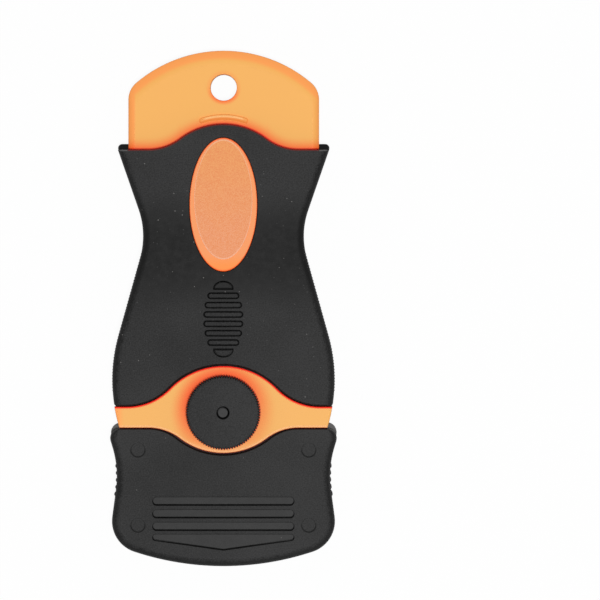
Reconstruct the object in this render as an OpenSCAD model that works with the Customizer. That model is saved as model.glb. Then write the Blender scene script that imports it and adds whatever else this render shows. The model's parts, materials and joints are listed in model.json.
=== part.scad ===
// Razor blade scraper with a rubber grip, a knob-clamped blade and a slip-on blade cover
// Millimetres. The scraper lies on its back: +Z is the front face, +Y the hanging tab,
// -Y the blade. X = 0 is the plane of symmetry.

/* [Lengths] */
// Tab, from the shoulders of the grip's mouth to its top
tab_l = 26.96; // [24:0.5:30]
// Grip, from the shoulders of its mouth to its lower edge at the sides
grip_l = 69.2; // [66:0.5:74]
// Orange band between grip and cover, at the sides
band_h = 5.8; // [5:0.1:7]
// Cover, from its mouth at the sides to its end
cover_l = 37.36; // [36.5:0.1:40]

/* [Grip sleeve] */
// Thickness of the grip, back to front
grip_t = 15; // [14.5:0.25:17]
// How far the widest place lies in from the mouth of the cover, each side
belly_in = 0.6; // [0.3:0.1:1]
// How far the corners of the mouth, where the tab comes out, lie in from the widest place
mouth_in = 1.5; // [0.5:0.1:2.5]
// Rise of the mouth's edge in the middle
mouth_rise = 6.85; // [5:0.1:8]
// Radius of the mouth's edge in the middle
mouth_r1 = 19.2; // [17:0.2:22]
// Length of the straight shoulders at the ends of the mouth's edge
mouth_flat_l = 8.2; // [6.5:0.1:10]
// How far the back of the mouth stands past the front
mouth_lip = 2.2; // [0:0.2:3]
// How far the waist lies in from the widest place
waist_in = 8.3; // [6.5:0.1:9.5]
// Distance of the waist below the mouth
waist_drop = 23.3; // [22:0.1:25]
// Radius of the waist curve
waist_r = 22; // [20:0.5:24]
// Height of the widest place over the lower edge
belly_rise = 7.1; // [6:0.1:9]
// Radius of the belly curve, where the length leaves room for it
belly_r = 44.3; // [42:0.5:48]
// Radius of the lower edge over the knob
low_r1 = 20.25; // [19:0.25:22]
// Length of the straight ends of the lower edge, with its corners
low_flat_l = 3.9; // [3:0.1:5]
// Radius of the lower corners
low_corner_r = 2; // [1:0.1:2.4]
// Rubber wall at the sides
side_wall = 1.6; // [1.2:0.1:1.8]
// Rubber wall at the front and the back
face_wall = 2.4; // [2:0.1:2.6]
// Rounding of the long edges of grip and cover
edge_r = 2.2; // [1.6:0.1:2.4]
// Width of the collars that close on the tab
collar_w = 46; // [40:1:48]

/* [Thumb ribs] */
// Height of the ribs
rib_h = 0.5; // [0.2:0.1:0.8]
// Width of the oval that the ribs fill
rib_oval_w = 10.7; // [9:0.1:13]
// Length of the oval that the ribs fill
rib_oval_l = 20.4; // [19.5:0.1:22]
// Distance from rib to rib
rib_pitch = 2.52; // [2.3:0.02:2.6]
// Width of a rib
rib_w = 1.6; // [1.2:0.1:1.8]
// Height of the oval over the grip's lower edge
rib_rise = 2.41; // [1.5:0.1:3]

/* [Badge] */
// Width of the oval badge
badge_w = 18.3; // [16:0.1:19]
// Length of the oval badge
badge_l = 36.1; // [32:0.1:37]
// Thickness of the badge plate
badge_t = 1.3; // [1:0.1:1.4]
// Space between the mouth and the badge
badge_drop = 3.64; // [2.6:0.1:5]
// Bare badge beside the clear label
label_side = 1.3; // [1:0.1:2.5]
// Bare badge above the clear label
label_top = 0.45; // [0.3:0.05:2]
// Bare badge below the clear label
label_foot = 3.25; // [2:0.05:5]
// Thickness of the clear label
label_t = 0.15; // [0.1:0.05:0.25]

/* [Core frame] */
// How far the sides of the tab lie in from the corners of the mouth
tab_in = 2.9; // [2.7:0.1:4]
// Thickness of the tab
tab_t = 4; // [3:0.25:5]
// Radius of the tab's top edge
tab_top_r = 36.7; // [35:0.1:45]
// Radius of the tab's corners
tab_corner_r = 6; // [4:0.5:8]
// Width of the bevel along the tab's top
tab_bevel = 3.8; // [2:0.1:4.5]
// Depth of the tab's bevels
tab_bevel_t = 1.4; // [0.6:0.1:1.6]
// Radius of the hanging hole
hang_r = 3.55; // [2.5:0.05:4.5]
// Distance from the top of the tab to the centre of the hole
hang_drop = 10; // [9:0.25:12]
// Space between the mouth and the retaining bead
bead_gap = 1.55; // [1:0.05:2]
// Length of the bead
bead_l = 11.6; // [8:0.2:14]
// Width of the bead
bead_w = 1.1; // [0.8:0.1:1.4]
// Height of the bead
bead_h = 0.5; // [0.3:0.1:0.8]
// Radius of the bead's inner edge
bead_r = 17.3; // [15:0.1:22]
// Distance of the spine's upper end below the shoulders of the mouth
spine_drop = 2.1; // [1.6:0.1:3]
// Ribs between the hollows of the spine
core_rib = 3; // [2:0.25:4]
// How far the core's band lies in from the back of the grip
bed_in = 0.6; // [0.4:0.1:1]
// How far the band lies in from the sides of the grip
band_in = 0.3; // [0.1:0.1:0.6]

/* [Blade] */
// Length of the cutting edge
blade_w = 39.4; // [36:0.2:39.4]
// Blade, from the edge to the back
blade_h = 18.7; // [17.5:0.1:19]
// Thickness of the blade
blade_t = 0.25; // [0.2:0.05:0.4]
// Height of the folded back
back_h = 4.6; // [4:0.1:5]
// Thickness of each leaf of the folded back
back_leaf = 0.45; // [0.3:0.05:0.5]
// How far the edge stands out of the jaws
blade_out = 5; // [4:0.25:5.5]
// Space between the edge and the end of the cover
edge_space = 6.16; // [5:0.1:7]
// Length of the slope at the tip of the jaws
jaw_slope = 7; // [5:0.25:8]
// Space between the lower jaw and the back of the cover, which two rails bridge
jaw_room = 1.2; // [0.9:0.1:1.8]

/* [Clamp] */
// Radius of the stud
stud_r = 2.5; // [2:0.25:2.5]
// Distance of the stud below the grip's lower edge at the sides
knob_drop = 1.6; // [1.2:0.1:2]
// Radius of the knob over its teeth
knob_r = 9.86; // [9.2:0.02:10.4]
// Space between the knob and the lower edge of the grip
knob_over = 2.74; // [2:0.02:3.4]
// Space between the knob and the edge of the cover
knob_under = 1.04; // [0.7:0.02:1.6]
// Height of the knob
knob_h = 6.2; // [5.6:0.2:8]
// Teeth round the knob
knob_teeth = 86; // [60:2:100]
// Depth of the teeth
tooth_d = 0.4; // [0.2:0.05:0.6]
// Outer radius of the ring mark on the knob's face
mark_r = 1.75; // [1.4:0.05:2.2]
// Width and depth of the ring mark
mark_w = 0.35; // [0.25:0.05:0.4]
// Wall of the knob's hub round the stud's head
hub_wall = 1.4; // [1:0.1:1.6]
// Height of the stud's head
head_h = 3; // [2.5:0.1:3.4]
// Outer radius of the thrust washer
washer_r = 7; // [6.8:0.1:7.4]
// Thickness of the thrust washer
washer_t = 0.8; // [0.6:0.1:1]
// Height of the nut
nut_h = 4; // [3.5:0.1:4.2]
// Thickness of the retaining ring
ring_t = 0.7; // [0.5:0.1:0.9]
// Outer radius of the retaining ring
ring_r = 4.6; // [4:0.1:5]
// Radius of the clamp plate's guide posts
guide_r = 1.5; // [1:0.1:1.8]
// Distance of the guide posts from the sides of the grip
guide_in = 6.5; // [5.5:0.25:8]
// Length of the guide posts below the seat
guide_l = 4; // [3:0.25:4.5]
// How far the clamp plate's face lies in from the front of the grip
plate_in = 0.6; // [0.3:0.1:1]
// How far the clamp opens
clamp_lift = 1.6; // [1:0.1:1.8]

/* [Blade cover] */
// How far the cover's mouth stands out from its waist, each side
cover_flare = 1.8; // [1.5:0.1:2]
// Radius of the dip in the cover's edge under the knob
dip_r = 19.85; // [19:0.1:21]
// Length of the straight ends of the cover's edge, with its corners
dip_flat_l = 10.4; // [9:0.1:12]
// Distance of the cover's waist from its mouth
cover_waist_drop = 13.1; // [12:0.1:14]
// Radius of the cover's waist curve, where the length leaves room for it
cover_waist_r = 27; // [24:0.5:30]
// How far the cover's belly stands out from its waist, each side
cover_belly_out = 1.3; // [0.9:0.1:1.6]
// Radius of the end corners
cover_belly_r = 8.7; // [7.5:0.1:10]
// How much rounder than the long edges the corners of the mouth are
cover_corner = 0.4; // [0.2:0.1:0.8]
// Radius of the cover's end
cover_end_r = 76.5; // [70:0.5:90]
// Wall of the cover
cover_wall = 2; // [1.6:0.1:2.2]
// How far the back half of the cover stands past the front half
cover_lip = 0.8; // [0:0.1:1]
// Radius of the pin heads
pin_head_r = 2; // [1.6:0.1:2.2]
// Thickness of the pin heads
pin_head_t = 1; // [0.6:0.1:1.2]
// Radius of the pin shanks
pin_r = 1.3; // [1:0.1:1.4]
// Wall of the bosses round the pins
boss_wall = 0.8; // [0.6:0.1:1]
// Space between the bosses and the sides of the cover
boss_gap = 1; // [0.6:0.1:1.6]
// Distance of the upper pins from the cover's mouth
pin_drop = 5.85; // [5:0.05:8]
// Distance of the lower pins from the cover's end
pin_rise = 11.26; // [10.5:0.1:13]
// Height of the finger bars
bar_h = 0.5; // [0.2:0.1:0.8]
// Length of the finger bars
bar_l = 38; // [30:0.5:39]
// Width of the finger bars
bar_w = 2.4; // [1.8:0.1:2.8]
// Distance from bar to bar
bar_pitch = 3.4; // [3.1:0.05:3.5]
// Distance of the first bar from the cover's mouth
bar_drop = 19.9; // [18.5:0.1:21]
// Depth of the pointed last bar
bar_point = 4.2; // [3:0.1:4.4]
// Distance from serration to serration on the cover's sides
notch_pitch = 1.9; // [1.6:0.05:2.2]
// Serrations on each side
notch_n = 6; // [3:1:7]
// How far the serrations stand out
notch_h = 0.35; // [0.15:0.05:0.5]

/* [Fits] */
// Gap where the band meets the grip and the cover
gap = 0.35; // [0.3:0.05:0.5]
// Clearance of a sliding or turning fit
slip = 0.08; // [0.04:0.01:0.1]
// Clearance of a pressed or glued fit
press = 0.02; // [0.01:0.01:0.04]
// Clearance between the jaws and the cover
cover_fit = 0.4; // [0.3:0.05:0.6]

/* [Hidden] */
$fn = 64;

// Lengthwise stations, with the middle of the whole length at y = 0
tab_top = (tab_l + grip_l + band_h + cover_l) / 2;
mouth_flat = tab_top - tab_l;
mouth_top = mouth_flat + mouth_rise;
waist_y = mouth_flat - waist_drop;
low_flat = mouth_flat - grip_l;
belly_y = low_flat + belly_rise;
knob_y = low_flat - knob_drop;
low_top = knob_y + knob_r + knob_over;
dip_flat = low_flat - band_h;
dip_top = knob_y - knob_r - knob_under;
cover_waist_y = dip_flat - cover_waist_drop;
cover_end = dip_flat - cover_l;
hang_y = tab_top - hang_drop;
spine_top = mouth_flat - spine_drop;
badge_y = mouth_top - badge_drop - badge_l / 2;
label_y = badge_y + (label_foot - label_top) / 2;
rib_y = low_top + rib_rise + rib_oval_l / 2;

// Half widths, from the blade outward and then along the grip
jaw_w = blade_w + 0.2;
boss_r = pin_head_r + boss_wall;
pin_x = jaw_w / 2 + cover_fit + boss_r;
cover_waist_x = pin_x + boss_r + boss_gap + cover_wall;
cover_x = cover_waist_x + cover_flare;
cover_belly_x = cover_waist_x + cover_belly_out;
belly_x = cover_x - belly_in;
waist_x = belly_x - waist_in;
mouth_x = belly_x - mouth_in;
tab_x = mouth_x - tab_in;

// Heights
mid_z = grip_t / 2;
seat_z = mid_z - 0.1;
plate_z0 = seat_z + blade_t;
plate_z1 = grip_t - plate_in;
core_z0 = face_wall + slip;
core_z1 = grip_t - face_wall - slip;
tab_z0 = mid_z - tab_t / 2;
tab_z1 = tab_z0 + tab_t;
jaw_z0 = cover_wall + jaw_room;
jaw_z1 = grip_t - cover_wall - clamp_lift - 2 * gap;
badge_z0 = grip_t - badge_t - 0.1;
badge_z1 = badge_z0 + badge_t;

// Blade and jaws
edge_y = cover_end + cover_wall + edge_space;
jaw_end = edge_y + blade_out;
jaw_top = dip_flat + 2;
blade_top = edge_y + blade_h;
groove_top = blade_top + back_leaf + slip;
groove_h = back_h + 2 * slip;
groove_d = back_leaf + press;

// Stud, nut, washer and knob
nut_r = 1.6 * stud_r / cos(30);
nut_z0 = bed_in + 0.3;
washer_z0 = plate_z1 - washer_t + 0.3;
hub_z0 = washer_z0 + washer_t;
hub_r = nut_r + hub_wall;
knob_z0 = hub_z0 + 0.1;
knob_z1 = knob_z0 + knob_h;
head_z0 = hub_z0 + 1;
stud_z0 = nut_z0 + 0.3;
sink_r = ring_r + 0.6;
sink_top = plate_z0 + ring_t + 1.3;
ring_z0 = sink_top - slip - ring_t;
ring_groove_r = stud_r - 0.45;
guide_x = belly_x - guide_in;
guide_y = (low_flat + dip_flat) / 2;

// Cover pins, upper and lower
pin_ys = [dip_flat - pin_drop, cover_end + pin_rise];

// Curve helpers

// Points of an arc about c, from angle a0 to a1, leaving out the first if skip is 1
function arc(c, r, a0, a1, n, skip = 0) =
    [for (i = [skip:n]) let (a = a0 + (a1 - a0) * i / n) [c.x + r * cos(a), c.y + r * sin(a)]];

// Right half of an S-shaped edge from its top or dip at x = 0, of radius r1, to the flat at x = run,
// moved up by e
function s_edge(top, flat, r1, run, e) =
    let (s = sign(top - flat), th = 2 * atan(abs(top - flat) / run), r2 = run / sin(th) - r1)
    concat(
        arc([0, top - s * r1], r1 + s * e, s * 90, s * (90 - th), 8),
        arc([(r1 + r2) * sin(th), flat + s * r2], r2 - s * e, s * (270 - th), s * 270, 6, 1));

function reversed(p) = [for (i = [len(p) - 1:-1:0]) p[i]];

// Whole outline from its right half, which starts and ends on x = 0
function both(p) = concat(p, [for (i = [len(p) - 2:-1:1]) [-p[i].x, p[i].y]]);

// Angle of the line that touches a circle from inside and the next from outside
function tangent(c1, r1, c2, r2, s) =
    atan2(c2.y - c1.y, c2.x - c1.x) + s * acos(min(1, (r1 + r2) / norm(c2 - c1)));

// Largest radii, added up, of two curves that pass the side from one width to another
function room(length, step) = (length ^ 2 + step ^ 2) / (2 * step);

// Ellipse with semi-axes a and b, between two angles
function ellipse(a, b, t0 = 0, t1 = 355, n = 71) =
    [for (i = [0:n]) let (t = t0 + (t1 - t0) * i / n) [a * cos(t), b * sin(t)]];

// Grip outline

belly_fit = min(belly_r, room(waist_y - belly_y, waist_in) - waist_r);
waist_c = [waist_x + waist_r, waist_y];
belly_c = [belly_x - belly_fit, belly_y];
belly_a = tangent(belly_c, belly_fit, waist_c, waist_r, -1);
mouth_v = [mouth_x, mouth_flat] - waist_c;
flare_a = acos(-waist_r / norm(mouth_v)) - atan2(mouth_v.y, mouth_v.x);

// x of the flare, inset by d, at height y
function flare_x(d, y) =
    let (p = waist_c + (waist_r + d) * [-cos(flare_a), sin(flare_a)])
    p.x + (y - p.y) * tan(flare_a);

// Angle on the belly curve, inset by d, at height y
function belly_at(d, y) = asin((y - belly_y) / (belly_fit - d));

// Belly curve from angle a down to height y
function belly(d, a, y) = arc(belly_c, belly_fit - d, a, belly_at(d, y), 12);

// Side of the grip, inset by d, between two heights
function side(d, y1, y0) = concat(
    [[flare_x(d, y1), y1]],
    arc(waist_c, waist_r + d, 180 - flare_a, 180 + belly_a, 10),
    belly(d, belly_a, y0));

// Lower edge of the grip, moved up by e
function low_edge(e) = s_edge(low_top, low_flat, low_r1, belly_x - low_flat_l, e);

// Edge of the cover, moved up by e
function dip_edge(e) = s_edge(dip_top, dip_flat, dip_r, cover_x - dip_flat_l, e);

// Grip outline with its sides inset by d, its ends by e and the mouth moved up by lip
function grip_half(d, e, lip) =
    let (r = max(low_corner_r - d, 0.1),
        y0 = low_flat + e,
        bx = (belly_c + (belly_fit - d) * [cos(belly_at(d, y0 + r)), 0]).x)
    concat(
        s_edge(mouth_top, mouth_flat, mouth_r1, mouth_x - mouth_flat_l, lip - e),
        side(d, mouth_flat + lip - e, y0 + r),
        arc([bx - r, y0 + r], r, 0, -90, 4, 1),
        reversed(low_edge(e)));

// The band between grip and cover, where the jaws show
function band_half(lip) = concat(
    low_edge(-gap),
    belly(band_in, belly_at(band_in, low_flat - gap), dip_flat + lip + gap),
    reversed(dip_edge(lip + gap)));

// Cover outline

cover_corner_r = edge_r + cover_corner;
cover_end_c = [0, cover_end + cover_end_r];
cover_belly_c = [cover_belly_x - cover_belly_r, cover_end_c.y
    - sqrt((cover_end_r - cover_belly_r) ^ 2 - (cover_belly_x - cover_belly_r) ^ 2)];
cover_waist_fit = min(cover_waist_r,
    room(cover_waist_drop - cover_corner_r, cover_flare) - cover_corner_r,
    room(cover_waist_y - cover_belly_c.y, cover_belly_out) - cover_belly_r);
cover_waist_c = [cover_waist_x + cover_waist_fit, cover_waist_y];
cover_belly_a = tangent(cover_belly_c, cover_belly_r, cover_waist_c, cover_waist_fit, -1);
cover_end_a = atan2(cover_belly_c.y - cover_end_c.y, cover_belly_c.x);

function cover_corner_c(lip) = [cover_x - cover_corner_r, dip_flat + lip - cover_corner_r];
function cover_corner_a(lip) =
    tangent(cover_corner_c(lip), cover_corner_r, cover_waist_c, cover_waist_fit, 1);

// Side and end of the cover below its corner, inset by d
function cover_low(d, lip) = concat(
    arc(cover_waist_c, cover_waist_fit + d, 180 + cover_corner_a(lip), 180 + cover_belly_a, 8),
    arc(cover_belly_c, cover_belly_r - d, cover_belly_a, cover_end_a, 8),
    arc(cover_end_c, cover_end_r - d, cover_end_a, -90, 8, 1));

// Cover outline with its sides inset by d and its mouth by e
function cover_half(d, e, lip) =
    let (c = cover_corner_c(lip), a = cover_corner_a(lip), r = cover_corner_r)
    concat(
        dip_edge(lip - e),
        [for (i = [0:5]) let (t = 90 + (a - 90) * i / 5) c + [(r - d) * cos(t), (r - e) * sin(t)]],
        cover_low(d, lip));

// Hollow of the cover, open past the mouth
function cover_hollow(d) =
    let (x = cover_waist_x - d)
    concat([[0, dip_flat + 8], [x, dip_flat + 8]], cover_low(d, 0));

// x of the cover's side at height y in its waist
function cover_side(y) =
    cover_waist_c.x - sqrt(max(0, cover_waist_fit ^ 2 - (y - cover_waist_y) ^ 2));

// Solid helpers

// Skin through rings of points of equal count, from the lowest to the highest
module loft(rings) {
    n = len(rings[0]);
    m = len(rings);
    walls = [for (k = [0:m - 2], i = [0:n - 1], h = [0, 1])
        let (a = k * n + i, b = k * n + (i + 1) % n)
        h == 0 ? [a, b, b + n] : [a, b + n, a + n]];
    polyhedron(
        points = [for (r = rings) each r],
        faces = concat(walls, [[for (i = [n - 1:-1:0]) i], [for (i = [0:n - 1]) (m - 1) * n + i]]));
}

function lifted(p, z) = [for (q = p) [q.x, q.y, z]];

module slab(p, z0, z1) {
    translate([0, 0, z0])
        linear_extrude(z1 - z0)
            polygon(p);
}

module rod(x, y, r, z0, z1) {
    translate([x, y, z0])
        cylinder(r = r, h = z1 - z0);
}

module hex(r, z0, z1) {
    translate([0, knob_y, z0])
        cylinder(r = r, h = z1 - z0, $fn = 6);
}

module block(w, y0, y1, z0, z1) {
    translate([-w / 2, y0, z0])
        cube([w, y1 - y0, z1 - z0]);
}

// Prism across the width w, from its outline in y and z
module across(w, p) {
    translate([-w / 2, 0, 0])
        rotate([90, 0, 90])
            linear_extrude(w)
                polygon(p);
}

// Bar with round ends
module bar(half, y, h, z0, z1) {
    block(2 * half - h, y - h / 2, y + h / 2, z0, z1);
    for (s = [-1, 1])
        rod(s * (half - h / 2), y, h / 2, z0, z1);
}

// Rounded edge: inset and rise of step i of 5
function round_in(r, i) = r * (1 - cos(18 * i));
function round_up(r, i) = r * sin(18 * i);

// Grip sleeve

// Back of the mouth stands higher than the front
function lip_at(z) = mouth_lip * (1 - z / grip_t);

module grip_body() {
    back = [for (i = [5:-1:0]) let (z = edge_r - round_up(edge_r, i), d = round_in(edge_r, i))
        lifted(both(grip_half(d, d * 0.25, lip_at(z))), z)];
    front = [for (i = [0:5]) let (z = grip_t - edge_r + round_up(edge_r, i), d = round_in(edge_r, i))
        lifted(both(grip_half(d, d * 0.25, lip_at(z))), z)];
    loft(concat(back, front));
}

// Thumb ribs: an ellipse cut into bars, with a half moon at each end
module thumb_ribs(z0, z1) {
    a = rib_oval_w / 2;
    b = rib_oval_l / 2;
    t0 = asin((3.5 * rib_pitch - rib_w / 2) / b);
    for (i = [-2.5:1:2.5])
        bar(a * sqrt(1 - (i * rib_pitch / b) ^ 2), rib_y + i * rib_pitch, rib_w, z0, z1);
    for (s = [-1, 1])
        slab([for (p = ellipse(a, b, t0, 180 - t0, 10)) [p.x, rib_y + s * p.y]], z0, z1);
}

module grip_sleeve() {
    color("#363636")
        difference() {
            union() {
                grip_body();
                thumb_ribs(grip_t - 0.2, grip_t + rib_h);
            }
            difference() {
                slab(both(concat([[0, tab_top]], side(side_wall, tab_top, low_flat - 8),
                    [[0, low_flat - 8]])), face_wall, grip_t - face_wall);
                // Collars that close on the front and the back of the tab
                block(collar_w, spine_top + gap, tab_top + 1, tab_z1 + slip, grip_t);
                block(collar_w, spine_top + gap, tab_top + 1, 0, tab_z0 - slip);
            }
            translate([0, badge_y, 0])
                slab(ellipse(badge_w / 2, badge_l / 2), badge_z0, grip_t + 1);
        }
}

module badge_insert() {
    color("#fa9a50")
        translate([0, badge_y, 0])
            slab(ellipse(badge_w / 2 - press, badge_l / 2 - press), badge_z0, badge_z1);
}

module badge_label() {
    color("#ed9e70")
        translate([0, label_y, 0])
            slab(ellipse(badge_w / 2 - label_side, (badge_l - label_top - label_foot) / 2),
                badge_z1, badge_z1 + label_t);
}

// Core frame

// Half width of the tab at height y, which clears the inside of the grip
function tab_at(y) = min(tab_x, flare_x(side_wall + slip, y));

// Hanging tab, its top edge and sides bevelled on the front
module tab() {
    y0 = spine_top - 2;
    c = [0, tab_top - tab_top_r];
    k = [tab_x - tab_corner_r,
        c.y + sqrt((tab_top_r - tab_corner_r) ^ 2 - (tab_x - tab_corner_r) ^ 2)];
    ak = atan2(k.y - c.y, k.x);
    outline = both(concat(
        arc(c, tab_top_r, 90, ak, 12),
        arc(k, tab_corner_r, ak, 0, 6, 1),
        [[tab_at(mouth_flat), mouth_flat], [tab_at(y0), y0], [0, y0]]));
    difference() {
        intersection() {
            slab(outline, tab_z0, tab_z1);
            translate([0, c.y, 0])
                rotate_extrude($fn = 128)
                    polygon([[0, tab_z0], [tab_top_r + 1, tab_z0], [tab_top_r + 1, tab_z1 - tab_bevel_t],
                        [tab_top_r, tab_z1 - tab_bevel_t], [tab_top_r - tab_bevel, tab_z1], [0, tab_z1]]);
        }
        for (s = [-1, 1])
            translate([s * tab_x, 0, tab_z1 - 0.8 * tab_bevel_t])
                rotate([0, s * 32, 0])
                    translate([-3, mouth_flat - 4, 0])
                        cube([6, tab_l + 10, 4]);
    }
    // Retaining bead for the lip of the grip
    bead_c = [0, mouth_top + bead_gap - bead_r];
    bead_a = asin(bead_l / 2 / bead_r);
    slab(concat(
        arc(bead_c, bead_r, 90 + bead_a, 90 - bead_a, 12),
        arc(bead_c, bead_r + bead_w, 90 - bead_a, 90 + bead_a, 12)), tab_z1 - 0.5, tab_z1 + bead_h);
}

// Core inside the grip, with hollows that leave ribs
module spine() {
    d = side_wall + slip;
    y0 = low_top + 2 * core_rib;
    cell = (spine_top - y0) / 4;
    w = waist_x - d - 1.5 * core_rib;
    difference() {
        union() {
            slab(both(concat([[0, spine_top]], side(d, spine_top, low_flat + 4),
                reversed(low_edge(2 * gap)))), core_z0, core_z1);
            slab(both(concat([[0, belly_y]], belly(d, 0, low_flat - 2), [[0, low_flat - 2]])),
                core_z0, seat_z);
        }
        for (s = [-1, 1], i = [0:3])
            translate([s * (w + core_rib) / 2 - w / 2, y0 + i * cell, seat_z - 1.2])
                cube([w, cell - core_rib, grip_t]);
    }
}

module core_frame() {
    color("#f9b86a")
        difference() {
            union() {
                tab();
                spine();
                slab(both(band_half(cover_lip)), bed_in, seat_z);
                across(jaw_w, [[jaw_end, seat_z], [jaw_end, seat_z - 1.2], [jaw_end + jaw_slope, jaw_z0],
                    [jaw_top, jaw_z0], [jaw_top, seat_z]]);
            }
            rod(0, hang_y, hang_r, 0, grip_t);
            rod(0, knob_y, stud_r + slip, 0, grip_t);
            hex(nut_r + press, 0, nut_z0 + nut_h);
            block(jaw_w + 2, groove_top - groove_h, groove_top, seat_z - groove_d, grip_t);
            for (s = [-1, 1])
                rod(s * guide_x, guide_y, guide_r + slip, seat_z - guide_l - 0.4, grip_t);
        }
}

module clamp_nut() {
    color("#b9bcc0")
        difference() {
            hex(nut_r, nut_z0, nut_z0 + nut_h);
            rod(0, knob_y, stud_r + slip, 0, seat_z);
        }
}

// Blade

module blade() {
    color("#c9ced3")
        difference() {
            block(blade_w, edge_y, blade_top, seat_z, plate_z0);
            // Ground edge
            for (s = [-1, 1])
                translate([0, edge_y, seat_z + blade_t / 2])
                    rotate([s * 8, 0, 0])
                        translate([-blade_w, -3, s > 0 ? 0 : -2])
                            cube([2 * blade_w, 6, 2]);
        }
}

module blade_back() {
    color("#d5d8da")
        difference() {
            block(blade_w, blade_top + back_leaf - back_h, blade_top + back_leaf,
                seat_z - back_leaf, plate_z0 + back_leaf);
            block(blade_w + 2, edge_y, blade_top, seat_z, plate_z0);
        }
}

// Clamp plate

module clamp_plate() {
    color("#f9ba6f")
        difference() {
            union() {
                slab(both(band_half(0)), plate_z0, plate_z1);
                across(jaw_w, [[jaw_end + 0.6, plate_z0], [jaw_end + 0.6, plate_z0 + 0.9],
                    [jaw_end + jaw_slope, jaw_z1], [jaw_top, jaw_z1], [jaw_top, plate_z0]]);
                for (s = [-1, 1])
                    rod(s * guide_x, guide_y, guide_r, seat_z - guide_l, plate_z0 + 1);
            }
            rod(0, knob_y, stud_r + slip, 0, grip_t);
            rod(0, knob_y, sink_r, 0, sink_top);
            rod(0, knob_y, washer_r + slip, washer_z0, grip_t);
            block(jaw_w + 2, groove_top - groove_h, groove_top, 0, plate_z0 + groove_d);
        }
}

module thrust_washer() {
    color("#b9bcc0")
        difference() {
            rod(0, knob_y, washer_r, washer_z0, hub_z0);
            rod(0, knob_y, stud_r + slip, 0, grip_t);
        }
}

// Knob

module knob() {
    teeth = [for (i = [0:2 * knob_teeth - 1])
        let (a = 180 * i / knob_teeth, r = knob_r - tooth_d * (i % 2)) r * [cos(a), sin(a)]];
    root_r = knob_r - tooth_d;
    hollow_r = root_r - 1.6;
    color("#363636")
        translate([0, knob_y, 0])
            difference() {
                union() {
                    slab(teeth, knob_z0, knob_z1 - 0.4);
                    // Plain bevelled edge over the teeth
                    translate([0, 0, knob_z1 - 0.5])
                        cylinder(r1 = root_r - 0.05, r2 = root_r - 0.45, h = 0.5);
                    rod(0, 0, hub_r, hub_z0, knob_z1 - 1);
                }
                // Hollow under the knob, round its hub
                difference() {
                    rod(0, 0, hollow_r, knob_z0 - 1, knob_z1 - 2.2);
                    rod(0, 0, hub_r, 0, knob_z1);
                }
                // Seat of the stud's head
                cylinder(r = nut_r + press, h = head_z0 + head_h, $fn = 6);
                // Ring mark in the middle of the face
                difference() {
                    rod(0, 0, mark_r, knob_z1 - mark_w, knob_z1 + 1);
                    rod(0, 0, mark_r - mark_w, 0, knob_z1 + 2);
                }
            }
}

module knob_stud() {
    color("#b9bcc0")
        difference() {
            union() {
                rod(0, knob_y, stud_r, stud_z0, head_z0 + 1);
                hex(nut_r, head_z0, head_z0 + head_h);
            }
            difference() {
                rod(0, knob_y, stud_r + 1, ring_z0 - press, ring_z0 + ring_t + press);
                rod(0, knob_y, ring_groove_r, 0, head_z0);
            }
        }
}

// Open spring ring in the stud's groove, which lifts the plate with the stud
module retaining_ring() {
    color("#8f9296")
        difference() {
            rod(0, knob_y, ring_r, ring_z0, ring_z0 + ring_t);
            rod(0, knob_y, ring_groove_r + press, 0, grip_t);
            translate([-0.8 * ring_groove_r, knob_y, 0])
                cube([1.6 * ring_groove_r, ring_r + 1, grip_t]);
        }
}

// Blade cover

module cover_shell(lip) {
    rings = concat(
        [lifted(both(cover_half(0, 0, lip)), 0)],
        [for (i = [0:5]) let (z = mid_z - edge_r + round_up(edge_r, i), d = round_in(edge_r, i))
            lifted(both(cover_half(d, d * 0.25, lip)), z)]);
    difference() {
        union() {
            loft(rings);
            // Finger serrations in the waist of the cover
            for (s = [-1, 1], i = [0:notch_n - 1])
                let (y = cover_waist_y + 2.8 - notch_pitch * i)
                rod(s * (cover_side(y) + notch_h - 0.7), y, 0.7, 0, mid_z - edge_r);
        }
        slab(both(cover_hollow(cover_wall)), -1, mid_z - cover_wall);
    }
    for (s = [-1, 1], y = pin_ys)
        rod(s * pin_x, y, boss_r, 0, mid_z - cover_wall + 0.5);
}

// Finger bars, the last one pointed
module finger_bars(z0, z1) {
    half = bar_l / 2;
    y = dip_flat - bar_drop - 3 * bar_pitch + bar_w / 2;
    for (i = [0:2])
        bar(half, dip_flat - bar_drop - i * bar_pitch, bar_w, z0, z1);
    slab(both([[0, y], [half - 1, y], [half, y - 0.6], [half - 0.4, y - 1.7], [0, y - bar_point]]),
        z0, z1);
}

module cover_front() {
    color("#383838")
        difference() {
            union() {
                translate([0, 0, mid_z])
                    cover_shell(0);
                finger_bars(grip_t - 0.2, grip_t + bar_h);
            }
            for (s = [-1, 1], y = pin_ys) {
                rod(s * pin_x, y, pin_r + press, 0, grip_t);
                rod(s * pin_x, y, pin_head_r + press, grip_t - pin_head_t, grip_t + 1);
            }
        }
}

module cover_back() {
    color("#383838")
        difference() {
            union() {
                translate([0, 0, mid_z])
                    mirror([0, 0, 1])
                        cover_shell(cover_lip);
                // Rails that bear on the back of the lower jaw
                for (s = [-1, 1])
                    translate([s * 0.7 * jaw_w / 2 - 0.75, jaw_end + jaw_slope, cover_wall - 0.5])
                        cube([1.5, dip_top - jaw_end - jaw_slope, jaw_z0 - slip - cover_wall + 0.5]);
            }
            for (s = [-1, 1], y = pin_ys)
                rod(s * pin_x, y, pin_r + press, cover_wall - 0.6, grip_t);
        }
}

module cover_pins() {
    color("#3a3a3a")
        for (s = [-1, 1], y = pin_ys) {
            rod(s * pin_x, y, pin_r, cover_wall - 0.4, grip_t - 0.1);
            rod(s * pin_x, y, pin_head_r, grip_t - pin_head_t, grip_t);
        }
}

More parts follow.
